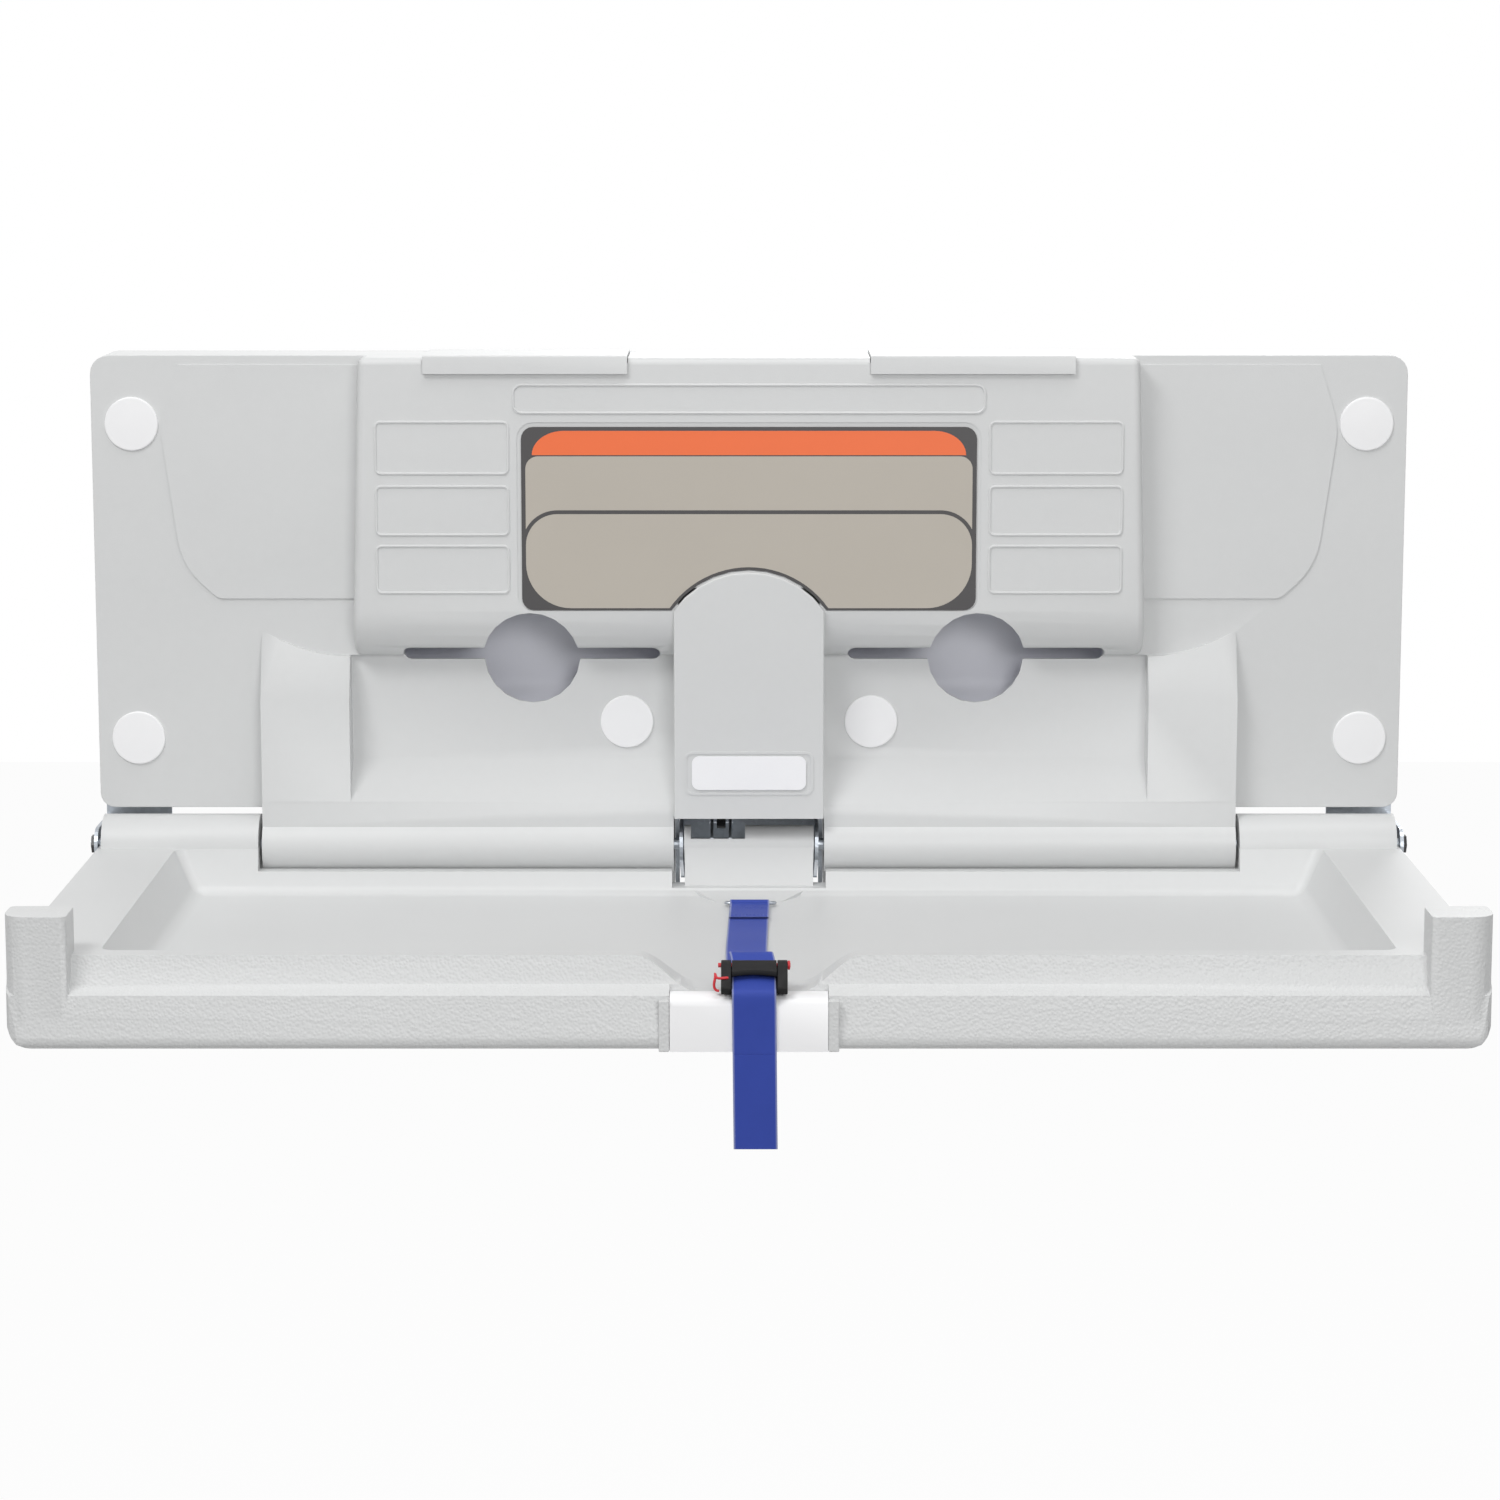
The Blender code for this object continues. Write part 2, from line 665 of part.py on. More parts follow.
def side_panel_outline(side):
    """The raised wing panel, bowed on its outer side."""
    top = BODY_TOP - BODY_CORNER / 2
    corners = (
        (HOUSING_TOP_WIDTH / 2, top, 0.0),
        (PANEL_SHOULDER, top, 0.0),
        (PANEL_OUTER, PANEL_WIDEST, PANEL_BOW),
        (PANEL_SHOULDER, PANEL_LOW, PANEL_BOW),
        (PANEL_FOOT, PANEL_BOTTOM, WING_CORNER),
        (HOUSING_LOW_WIDTH / 2, PANEL_BOTTOM, 0.0),
    )
    return rounded([(side * u, v, radius) for u, v, radius in corners])


def caps():
    places = {}
    for word, side in SIDES:
        places["cap_upper_" + word] = (side * CAP_OUTER_X, WING_Y, CAP_UPPER_Z)
        places["cap_lower_" + word] = (side * CAP_OUTER_X, WING_Y, CAP_LOWER_Z)
        places["cap_inner_" + word] = (side * CAP_INNER_X, RECESS_Y, CAP_INNER_Z)
    return places


def panel_screws():
    places = {}
    for word, side in SIDES:
        outer, inner = side * PANEL_SCREW_OUTER_X, side * PANEL_SCREW_INNER_X
        places["panel_screw_upper_" + word] = (outer, WING_Y, PANEL_SCREW_HIGH_Z)
        places["panel_screw_lower_" + word] = (outer, WING_Y, PANEL_SCREW_LOW_Z)
        places["panel_screw_inner_" + word] = (inner, HOUSING_Y, PANEL_SCREW_HIGH_Z)
    return places


def make_wall_body():
    body = prism("wall_body", wing_outline(), "XZ", WING_Y, WING_ROUND, GREY)
    soften(body, WING_ROUND)
    cut(body, block("recess", (-RECESS_HALF, WING_Y - OVERRUN, WING_BOTTOM - OVERRUN),
                    (RECESS_HALF, RECESS_Y + WALL / 2, HOUSING_CREASE + GAP)))
    for word, side in SIDES:
        panel = prism("wing_panel_" + word, side_panel_outline(side), "XZ",
                      WING_Y - PANEL_RISE, WING_Y + WALL / 2)
        join(body, panel)
    top, low = HOUSING_TOP_WIDTH / 2, HOUSING_LOW_WIDTH / 2
    front = ((-low, HOUSING_CREASE), (low, HOUSING_CREASE), (top, BODY_TOP), (-top, BODY_TOP))
    housing = prism("housing", front, "XZ", HOUSING_Y - WALL, WING_Y / 2)
    keep(housing, prism("housing_profile", housing_profile(), "YZ", -low - WALL, low + WALL))
    soften(housing, HOUSING_ROUND)
    lower = prism("lower_body", lower_profile(), "YZ", -LOWER_HALF, LOWER_HALF)
    tower = prism("tower", tower_outline(TOWER_BOTTOM / 2), "XZ", TOWER_Y, -LOWER_BACK_DEPTH / 2)
    soften(tower, TOWER_ROUND)
    join(body, housing, lower)
    for word, side in SIDES:
        join(body, buttress("buttress_" + word, side))
        low_x, high_x = sorted((side * OPENING_HALF, side * LOWER_HALF))
        join(body, rod("barrel_" + word, "X", (HINGE_Y, 0.0), low_x, high_x, BARREL_RADIUS))
    join(body, tower)
    hollow_body(body)
    open_body(body)
    dress_body(body)
    wall_plane = block("behind_wall_plane", (-BODY_WIDTH, 0.0, -BODY_WIDTH),
                       (BODY_WIDTH, BODY_WIDTH, BODY_WIDTH))
    cut(body, wall_plane)


def hollow_body(body):
    """Opens the shell from behind, leaving a wall all round, and the screw bosses."""
    wing_hollow = prism("wing_hollow", wing_outline(WALL), "XZ", WING_Y + WALL, OVERRUN * 2)
    cut(wing_hollow, block("recess_skin", (-RECESS_HALF - WALL / 2, WING_Y, -OVERRUN),
                           (RECESS_HALF + WALL / 2, RECESS_Y + WALL - GAP, HOUSING_CREASE + WALL * 2)))
    cut(body, wing_hollow)
    inner = HOUSING_TOP_WIDTH / 2 - HOUSING_ROUND
    roof = BODY_TOP - HOUSING_TOP_WALL
    cut(body, prism("housing_hollow", housing_profile(WALL, roof, OVERRUN * 2), "YZ",
                    -inner, inner))
    for word, side in SIDES:
        ends = sorted((side * (OPENING_HALF + WALL), side * (LOWER_HALF - WALL)))
        cut(body, prism("lower_hollow_" + word, lower_profile(WALL, OVERRUN * 2), "YZ", *ends))
    cavity = rounded((
        (-TOWER_HALF + WALL, LOWER_BOTTOM * 2, 0.0),
        (TOWER_HALF - WALL, LOWER_BOTTOM * 2, 0.0),
        (TOWER_HALF - WALL, TOWER_CAVITY_TOP, WING_CORNER),
        (-TOWER_HALF + WALL, TOWER_CAVITY_TOP, WING_CORNER),
    ))
    cut(body, prism("tower_hollow", cavity, "XZ", TOWER_Y + WALL, OVERRUN * 2))
    for name, (x, face, z) in panel_screws().items():
        boss = rod(name + "_boss", "Y", (x, z), face + WALL / 2, -BACK_THICKNESS - GAP, BOSS_RADIUS,
                   sides=SMALL_SIDES)
        hole = rod(name + "_pilot", "Y", (x, z), -BACK_THICKNESS - PANEL_SCREW_LENGTH - GAP * 4,
                   OVERRUN, PANEL_SCREW_RADIUS + GAP, sides=SMALL_SIDES)
        join(body, boss)
        cut(body, hole)


def open_body(body):
    """Cuts the centre opening, the rod hole, the bracket slots, outlets, lid seats and cap holes."""
    cut(body, block("centre_opening", (-OPENING_HALF, TOWER_Y - OVERRUN, LOWER_BOTTOM - OVERRUN),
                    (OPENING_HALF, OVERRUN * 3, TOWER_BOTTOM)))
    cut(body, rod("rod_hole", "X", (HINGE_Y, 0.0), -BODY_HALF, BODY_HALF, ROD_HOLE_RADIUS))
    for word, side in SIDES:
        ends = sorted((side * (SIDE_BRACKET_INNER - GAP), side * (BODY_HALF - WALL)))
        cut(body, block("bracket_slot_" + word,
                        (ends[0], -BACK_THICKNESS - STEEL - GAP * 3, WING_BOTTOM - OVERRUN),
                        (ends[1], OVERRUN, WING_BOTTOM + WALL * 2)))
        centre = OUTLET_LEFT if side < 0 else OUTLET_RIGHT
        outlet = prism("outlet_" + word, outlet_outline(centre), "XZ",
                       HOUSING_Y - OVERRUN, RECESS_Y + WALL * 2)
        cut(body, outlet)
        middle = side * LID_CENTRE
        half = LID_WIDTH / 2 + LID_GAP / 2
        seat = block("lid_seat_" + word, (middle - half, HOUSING_Y - OVERRUN, REBATE_BOTTOM),
                     (middle + half, -LID_REBATE_BACK, BODY_TOP + OVERRUN))
        mouth_half = LID_WIDTH / 2 - LID_MOUTH_INSET
        mouth = block("liner_mouth_" + word,
                      (middle - mouth_half, HOUSING_Y + LID_MOUTH_INSET, REBATE_BOTTOM - OVERRUN),
                      (middle + mouth_half, -BIN_BACK_DEPTH - BIN_WALL, BODY_TOP + OVERRUN))
        pin_reach = LID_WIDTH / 2 + LID_PIN_SEAT + GAP
        pin_hole = rod("lid_pin_hole_" + word, "X", (-LID_PIN_DEPTH, LID_AXIS_Z),
                       middle - pin_reach, middle + pin_reach, LID_PIN_RADIUS + GAP,
                       sides=SMALL_SIDES)
        cut(body, seat, mouth, pin_hole)
    for name, (x, face, z) in caps().items():
        hole = rod(name + "_hole", "Y", (x, z), face - WALL, face + CAP_SKIRT_LENGTH * 2,
                   CAP_SKIRT_RADIUS + GAP, sides=CAP_SIDES)
        cut(body, hole)


def dress_body(body):
    """Adds the thin raised frames and cuts the shallow seats of the label and the plate."""
    title = raised_frame("title_frame", -TITLE_HALF, TITLE_HALF, TITLE_BOTTOM, TITLE_TOP,
                         TITLE_CORNER, HOUSING_Y)
    join(body, title)
    for word, side in SIDES:
        for row, (bottom, top) in enumerate(zip(TABLET_BOTTOMS, TABLET_TOPS)):
            low, high = sorted((side * TABLET_INNER, side * TABLET_OUTER))
            join(body, raised_frame(f"tablet_{row}_{word}", low, high, bottom, top,
                                    TABLET_CORNER, HOUSING_Y))
    join(body, raised_frame("plate_frame", -PLATE_FRAME_HALF, PLATE_FRAME_HALF,
                            PLATE_FRAME_BOTTOM, PLATE_FRAME_TOP, PLATE_CORNER, TOWER_Y))
    seat = prism("label_seat", label_outline(LABEL_MARGIN, LABEL_FOOT_MARGIN), "XZ",
                 HOUSING_Y - OVERRUN, HOUSING_Y + LABEL_RECESS)
    cut(body, seat)


# Pieces on the wall body

def label_outline(margin=0.0, foot_margin=0.0):
    """The label: a rounded rectangle with an arch cut out over the tower."""
    arch_radius = ARCH_RADIUS + LABEL_ARCH_GAP - foot_margin
    half = LABEL_HALF + margin
    bottom = LABEL_BOTTOM - foot_margin
    top = LABEL_TOP + margin
    corner = LABEL_CORNER + margin
    sine = (bottom - ARCH_CENTRE) / arch_radius
    reach = math.degrees(math.asin(sine))
    frame = rounded(((-half, bottom, corner), (half, bottom, corner), (half, top, corner),
                     (-half, top, corner)))
    turn = arc((0.0, ARCH_CENTRE), arch_radius, 180.0 - reach, reach, ARC_STEPS * 2)
    left = frame[: ARC_STEPS + 1]
    return left + turn + frame[ARC_STEPS + 1:]


def make_label_and_plate():
    back = HOUSING_Y + LABEL_RECESS - GAP
    prism("front_label", label_outline(), "XZ", back - LABEL_THICKNESS, back, LABEL)
    plate = box_outline(-PLATE_HALF, PLATE_HALF, PLATE_BOTTOM, PLATE_TOP, PLATE_CORNER)
    prism("centre_plate", plate, "XZ", TOWER_Y - GAP - PLATE_THICKNESS, TOWER_Y - GAP, WHITE)


def make_caps():
    seat = CAP_SKIRT_RADIUS
    profile = (
        (0.0, CAP_THICKNESS), (CAP_RADIUS - CAP_EDGE, CAP_THICKNESS),
        (CAP_RADIUS, CAP_THICKNESS - CAP_EDGE), (CAP_RADIUS, 0.0), (seat, 0.0),
        (seat, -CAP_SKIRT_LENGTH), (seat - CAP_SKIRT_WALL, -CAP_SKIRT_LENGTH),
        (seat - CAP_SKIRT_WALL, 0.0), (0.0, 0.0),
    )
    for name, (x, face, z) in caps().items():
        cap = turned(name, profile, "Y", (x, face - GAP, z), WHITE, CAP_SIDES)
        cap.rotation_euler = Matrix.Rotation(math.radians(90.0), 4, "X").to_euler()


def make_back_panel():
    edge = WALL + GAP
    foot = LOWER_HALF - edge
    wing = BODY_HALF - edge
    low, shelf = LOWER_BOTTOM + edge, WING_BOTTOM + edge
    near, far = TOWER_HALF - edge, OPENING_HALF + edge
    slot_top = shelf + WALL / 2
    half = (
        (near, low, 0.0), (near, slot_top, 0.0), (far, slot_top, 0.0), (far, low, 0.0),
        (foot, low, 0.0), (foot, shelf, 0.0), (wing, shelf, WING_CORNER - edge),
        (wing, BODY_TOP - edge, BODY_CORNER - edge),
    )
    outline = rounded([*half, *((-u, v, radius) for u, v, radius in reversed(half))])
    holes = [circle((x, z), FIXING_HOLE_RADIUS) for x, face, z in caps().values()]
    holes += [circle((x, z), PANEL_SCREW_RADIUS + RUNNING_GAP)
              for x, face, z in panel_screws().values()]
    panel = prism("back_panel", outline, "XZ", -BACK_THICKNESS, 0.0, GREY, holes=holes)
    seats = [circle((x, z), PANEL_SCREW_HEAD_RADIUS + GAP) for x, face, z in panel_screws().values()]
    cut(panel, prism("screw_head_seats", seats[0], "XZ", -PANEL_SCREW_HEAD - GAP, OVERRUN,
                     holes=seats[1:]))
    head, shank = PANEL_SCREW_HEAD_RADIUS, PANEL_SCREW_RADIUS
    profile = (
        (0.0, 0.0), (head, 0.0), (head, -PANEL_SCREW_HEAD), (shank, -PANEL_SCREW_HEAD),
        (shank, -PANEL_SCREW_LENGTH), (0.0, -PANEL_SCREW_LENGTH - shank),
    )
    for name, (x, face, z) in panel_screws().items():
        screw = turned(name, profile, "Y", (x, 0.0, z), ZINC, SMALL_SIDES)
        screw.rotation_euler = AXIS_TURN["Y"].to_euler()


def make_liner_bins():
    roof = BODY_TOP - HOUSING_TOP_WALL - GAP
    for word, side in SIDES:
        middle = OUTLET_LEFT if side < 0 else OUTLET_RIGHT
        inset = WALL + GAP
        outer = bin_profile(inset, roof, BIN_BACK_DEPTH, BIN_BOTTOM)
        inner = bin_profile(inset + BIN_WALL, roof + OVERRUN, BIN_BACK_DEPTH + BIN_WALL,
                            BIN_BOTTOM + BIN_WALL)
        low, high = middle - BIN_HALF, middle + BIN_HALF
        liner_bin = prism("liner_bin_" + word, outer, "YZ", low, high, INNER)
        cut(liner_bin, prism("bin_inside_" + word, inner, "YZ", low + BIN_WALL, high - BIN_WALL))
        cut(liner_bin, prism("bin_outlet_" + word, outlet_outline(middle, BIN_WALL / 4), "XZ",
                             HOUSING_Y - OVERRUN, RECESS_Y + WALL * 3))


def bin_profile(inset, roof, back, bottom):
    """A bin in the YZ plane: it follows the housing's front and ends in a rounded floor."""
    shell = housing_profile(inset, roof)[1:-1]
    front = RECESS_Y + inset + BIN_TOE_ROUND
    floor = arc((front, bottom + BIN_TOE_ROUND), BIN_TOE_ROUND, 180.0, 270.0)
    heel = arc((-back - BIN_FLOOR_ROUND, bottom + BIN_FLOOR_ROUND), BIN_FLOOR_ROUND, 270.0, 360.0)
    return [*shell, *floor, *heel, (-back, roof)]


def lid_profile():
    """A lid in the YZ plane: the hinge barrel at the back, the plate and the front lip."""
    barrel = arc((-LID_PIN_DEPTH, LID_AXIS_Z), LID_BARREL_RADIUS, -90.0, 90.0, ARC_STEPS)
    top = BODY_TOP + LID_PROUD
    front = -LID_FRONT_DEPTH
    return [
        *barrel, (front + LID_ROUND, top), (front, top - LID_ROUND), (front, LID_LIP_BOTTOM),
        (front + LID_LIP_THICKNESS, LID_LIP_BOTTOM), (front + LID_LIP_THICKNESS, LID_BOTTOM),
        (-LID_PIN_DEPTH - LID_BARREL_RADIUS, LID_BOTTOM),
    ]


def make_lids():
    for word, side in SIDES:
        middle = side * LID_CENTRE
        half = LID_WIDTH / 2
        lid = prism("liner_lid_" + word, lid_profile(), "YZ", middle - half, middle + half, GREY)
        bore = rod("lid_bore_" + word, "X", (-LID_PIN_DEPTH, LID_AXIS_Z), middle - half - OVERRUN,
                   middle + half + OVERRUN, LID_PIN_RADIUS + GAP, sides=SMALL_SIDES)
        cut(lid, bore)
        reach = half + LID_PIN_SEAT
        rod("lid_pin_" + word, "X", (-LID_PIN_DEPTH, LID_AXIS_Z), middle - reach, middle + reach,
            LID_PIN_RADIUS, ZINC, SMALL_SIDES)
        hinge_piece(lid, "lid_axis_" + word, (middle, -LID_PIN_DEPTH, LID_AXIS_Z))


# Steel hinge parts

def capsule(start, end, start_radius, end_radius, steps=ARC_STEPS * 2):
    """The outline round two circles and the straight flanks between them."""
    run = Vector(end) - Vector(start)
    heading = math.degrees(math.atan2(run.y, run.x))
    lean = math.degrees(math.acos((start_radius - end_radius) / run.length))
    far = arc(end, end_radius, heading - lean, heading + lean, steps)
    near = arc(start, start_radius, heading + lean, heading + 360.0 - lean, steps)
    return far + near


def make_hinge_steel():
    rod_half = EAR_INNER + STEEL + NUT_THICKNESS + GAP + ROD_END_PROUD
    rod("hinge_rod", "X", (HINGE_Y, 0.0), -rod_half, rod_half, ROD_RADIUS, ZINC, SMALL_SIDES)
    for word, side in SIDES:
        make_side_bracket(word, side)
        ends = sorted((side * (EAR_INNER + STEEL + GAP), side * (rod_half - ROD_END_PROUD)))
        nut = rod("rod_nut_" + word, "X", (HINGE_Y, 0.0), *ends, NUT_RADIUS, DARK, 6)
        cut(nut, rod("rod_nut_hole_" + word, "X", (HINGE_Y, 0.0), ends[0] - WALL, ends[1] + WALL,
                     ROD_RADIUS + GAP, sides=SMALL_SIDES))
    make_centre_bracket()


def make_side_bracket(word, side):
    """A steel strip behind the wing that turns out below it and forward to hold the rod's end."""
    outer = EAR_INNER + STEEL
    wing_edge = BODY_HALF - WALL - STEEL
    foot = -EAR_RADIUS
    neck = WING_BOTTOM - GAP
    strip = [
        (SIDE_BRACKET_INNER, foot), (outer, foot), (outer, neck), (wing_edge, neck),
        (wing_edge, SIDE_BRACKET_TOP), (SIDE_BRACKET_INNER, SIDE_BRACKET_TOP),
    ]
    outline = [(side * u, v) for u, v in strip]
    face = -BACK_THICKNESS - GAP
    bracket = prism("hinge_bracket_" + word, outline, "XZ", face - STEEL, face, ZINC)
    arm = [(face, -EAR_RADIUS), (face, EAR_RADIUS), *arc((HINGE_Y, 0.0), EAR_RADIUS, 90.0, 270.0,
                                                        ARC_STEPS * 2)]
    ends = sorted((side * EAR_INNER, side * outer))
    join(bracket, prism("bracket_arm_" + word, arm, "YZ", *ends))
    cut(bracket, rod("ear_hole_" + word, "X", (HINGE_Y, 0.0), ends[0] - WALL, ends[1] + WALL,
                     ROD_HOLE_RADIUS, sides=SMALL_SIDES))
    cut(bracket, rod("bracket_fixing_" + word, "Y", (side * CAP_OUTER_X, CAP_LOWER_Z), -OVERRUN,
                     OVERRUN, FIXING_HOLE_RADIUS, sides=SMALL_SIDES))


def make_centre_bracket():
    """A steel channel at the back of the centre opening whose cheeks carry the rod."""
    face = -BACK_THICKNESS - GAP
    back = face - STEEL
    half = U_BRACKET_OUTER
    bracket = block("centre_bracket", (-half, back, U_BRACKET_BOTTOM), (half, face, U_BRACKET_TOP),
                    ZINC)
    for word, side in SIDES:
        cheek = [
            (face, U_BRACKET_BOTTOM), (face, TOWER_BOTTOM - GAP * 4),
            *arc((HINGE_Y, 0.0), U_CHEEK_RADIUS, 90.0, 240.0, ARC_STEPS * 2),
        ]
        ends = sorted((side * half, side * (half - STEEL)))
        join(bracket, prism("cheek_" + word, cheek, "YZ", *ends))
    cut(bracket, rod("cheek_hole", "X", (HINGE_Y, 0.0), -half - WALL, half + WALL,
                     ROD_HOLE_RADIUS, sides=SMALL_SIDES))


# Gas strut

def make_gas_strut():
    eye_z = CRANK_RISE
    slot_half = EYE_SLOT_HALF
    slot_height = EYE_SLOT_HEIGHT / 2
    outer_half = slot_half + EYE_WALL
    outer_height = slot_height + EYE_WALL
    low, high = STRUT_X - EYE_THICKNESS / 2, STRUT_X + EYE_THICKNESS / 2
    eye = prism("strut_eye", stadium((STRUT_Y, eye_z), outer_half, outer_height), "YZ", low, high,
                BLACK)
    neck_low = eye_z + outer_height - EYE_WALL / 2
    neck_high = eye_z + outer_height + EYE_NECK_LENGTH
    join(eye, rod("eye_neck", "Z", (STRUT_X, STRUT_Y), neck_low, neck_high, EYE_NECK_RADIUS,
                  sides=SMALL_SIDES))
    cut(eye, prism("eye_slot", stadium((STRUT_Y, eye_z), slot_half, slot_height), "YZ", low - WALL,
                   high + WALL))
    rod_bottom = eye_z + outer_height + GAP * 2
    cut(eye, rod("eye_socket", "Z", (STRUT_X, STRUT_Y), rod_bottom - GAP, neck_high + OVERRUN,
                 STRUT_ROD_RADIUS + GAP, sides=SMALL_SIDES))
    place = (STRUT_X, STRUT_Y, 0.0)
    piston_low = STRUT_ROD_TOP - STRUT_PISTON_LENGTH
    profile = (
        (0.0, STRUT_ROD_TOP), (STRUT_PISTON_RADIUS, STRUT_ROD_TOP),
        (STRUT_PISTON_RADIUS, piston_low), (STRUT_ROD_RADIUS, piston_low),
        (STRUT_ROD_RADIUS, rod_bottom), (0.0, rod_bottom),
    )
    turned("strut_rod", profile, "Z", place, ZINC, SMALL_SIDES)
    make_strut_tube(place)
    make_strut_top()


def make_strut_tube(place):
    bore = STRUT_TUBE_RADIUS - STRUT_TUBE_WALL
    roof = STRUT_TUBE_TOP - STRUT_TUBE_WALL
    profile = (
        (0.0, STRUT_TUBE_TOP), (STRUT_TUBE_RADIUS, STRUT_TUBE_TOP),
        (STRUT_TUBE_RADIUS, STRUT_TUBE_BOTTOM), (bore, STRUT_TUBE_BOTTOM), (bore, roof), (0.0, roof),
    )
    tube = turned("strut_cylinder", profile, "Z", place, DARK, SMALL_SIDES)
    tongue_low = STRUT_TUBE_TOP - STRUT_TUBE_WALL / 2
    half = STRUT_TONGUE_THICKNESS / 2
    tongue = [(STRUT_Y - STRUT_TONGUE_RADIUS, tongue_low), (STRUT_Y + STRUT_TONGUE_RADIUS, tongue_low),
              *arc((STRUT_Y, STRUT_TOP_PIN_Z), STRUT_TONGUE_RADIUS, 0.0, 180.0, ARC_STEPS * 2)]
    join(tube, prism("strut_tongue", tongue, "YZ", STRUT_X - half, STRUT_X + half))
    cut(tube, rod("strut_tongue_hole", "X", (STRUT_Y, STRUT_TOP_PIN_Z), STRUT_X - half - WALL,
                  STRUT_X + half + WALL, STRUT_TOP_PIN_RADIUS + GAP, sides=SMALL_SIDES))
    seal_top = STRUT_TUBE_BOTTOM + STRUT_SEAL_LENGTH
    inner = STRUT_ROD_RADIUS + GAP
    seal = (
        (bore - GAP, seal_top), (bore - GAP, STRUT_TUBE_BOTTOM), (inner, STRUT_TUBE_BOTTOM),
        (inner, seal_top), (bore - GAP, seal_top),
    )
    turned("strut_seal", seal, "Z", place, NYLON, SMALL_SIDES)


def make_strut_top():
    """A forked steel bracket on the back panel that holds the strut's upper end."""
    face = -BACK_THICKNESS - GAP
    fork = STRUT_TONGUE_THICKNESS / 2 + GAP * 2
    outer = fork + STRUT_TOP_PLATE
    front = STRUT_Y - STRUT_TONGUE_RADIUS
    bracket = block("strut_top_bracket", (STRUT_X - outer * 2, face - STRUT_TOP_PLATE,
                                          STRUT_TOP_BRACKET_LOW),
                    (STRUT_X + outer * 2, face, STRUT_TOP_BRACKET_HIGH), ZINC)
    ear = [(face, STRUT_TOP_PIN_Z - STRUT_TONGUE_RADIUS), (face, STRUT_TOP_PIN_Z + STRUT_TONGUE_RADIUS),
           *arc((STRUT_Y, STRUT_TOP_PIN_Z), STRUT_Y - front, 90.0, 270.0, ARC_STEPS * 2)]
    for word, side in SIDES:
        ends = sorted((STRUT_X + side * fork, STRUT_X + side * outer))
        join(bracket, prism("strut_ear_" + word, ear, "YZ", *ends))
    reach = outer + STRUT_TOP_PLATE
    cut(bracket, rod("strut_ear_hole", "X", (STRUT_Y, STRUT_TOP_PIN_Z), STRUT_X - reach * 2,
                     STRUT_X + reach * 2, STRUT_TOP_PIN_RADIUS + GAP, sides=SMALL_SIDES))
    rod("strut_top_pin", "X", (STRUT_Y, STRUT_TOP_PIN_Z), STRUT_X - reach, STRUT_X + reach,
        STRUT_TOP_PIN_RADIUS, ZINC, SMALL_SIDES)


# Bed

def ahead(distance):
    """The Y of a point at this distance in front of the hinge line."""
    return HINGE_Y - distance


def hinge_piece(piece, name, place):
    axis = bpy.data.objects.get(name)
    if axis is None:
        axis = bpy.data.objects.new(name, None)
        axis.location = place
        station.objects.link(axis)
        bpy.context.view_layer.update()
    piece.parent = axis
    piece.matrix_parent_inverse = axis.matrix_world.inverted()


def on_bed(piece):
    hinge_piece(piece, "bed_axis", (0.0, HINGE_Y, 0.0))
    return piece


def bed_side_profile(inset=0.0):
    """The bed in the YZ plane without its knuckles, seen from the side."""
    low = -BED_HEIGHT + inset
    corners = (
        (ahead(BED_REAR + inset), -inset, 0.0),
        (ahead(BED_REAR + inset), low, BED_REAR_ROUND),
        (ahead(BED_FRONT - inset), low, BED_FRONT_ROUND),
        (ahead(BED_LEDGE - inset), -BED_LEDGE_HEIGHT - inset, 0.0),
        (ahead(BED_FACE_FOOT - inset), -BED_FACE_HEIGHT - inset, 0.0),
        (ahead(BED_FRONT_TOP - inset), -inset, 0.0),
    )
    return rounded(corners)


def bed_front_outline(inset=0.0, top=OVERRUN):
    """The bed in the XZ plane: its lower long edges are well rounded."""
    half = BED_HALF - inset
    low = -BED_HEIGHT + inset
    radius = BED_SIDE_ROUND - inset
    return rounded(((-half, low, radius), (half, low, radius), (half, top, 0.0), (-half, top, 0.0)))


def bed_plan_outline(inset=0.0):
    half = BED_HALF - inset
    rear, front = ahead(BED_REAR + inset - OVERRUN), ahead(BED_FRONT - inset)
    corner = BED_PLAN_CORNER
    return rounded(((-half, front, corner), (half, front, corner), (half, rear, 0.0),
                    (-half, rear, 0.0)))


def tray_pocket(name, grow=0.0):
    """The tray's hollow, wider at its mouth than at its floor; grown, it is the skin round it."""
    mouth = (TRAY_HALF + grow, ahead(TRAY_REAR - grow), ahead(TRAY_FRONT + grow), OVERRUN)
    floor = (TRAY_FLOOR_HALF + grow, ahead(TRAY_FLOOR_REAR - grow),
             ahead(TRAY_FLOOR_FRONT + grow), -TRAY_DEPTH - grow)
    slope = (mouth[3] - floor[3]) / (TRAY_DEPTH + grow)
    half = floor[0] + (mouth[0] - floor[0]) * slope
    rear = floor[1] + (mouth[1] - floor[1]) * slope
    front = floor[2] + (mouth[2] - floor[2]) * slope
    shape = bmesh.new()
    bmesh.ops.create_cube(shape, size=2.0)
    for vert in shape.verts:
        upper = vert.co.z > 0.0
        back = vert.co.y > 0.0
        width = half if upper else floor[0]
        vert.co.x = math.copysign(width, vert.co.x)
        vert.co.y = (rear if upper else floor[1]) if back else (front if upper else floor[2])
        vert.co.z = OVERRUN if upper else floor[3]
    mesh = bpy.data.meshes.new(name)
    shape.to_mesh(mesh)
    shape.free()
    pocket = add(name, mesh)
    soften(pocket, TRAY_ROUND + grow, 3)
    return pocket


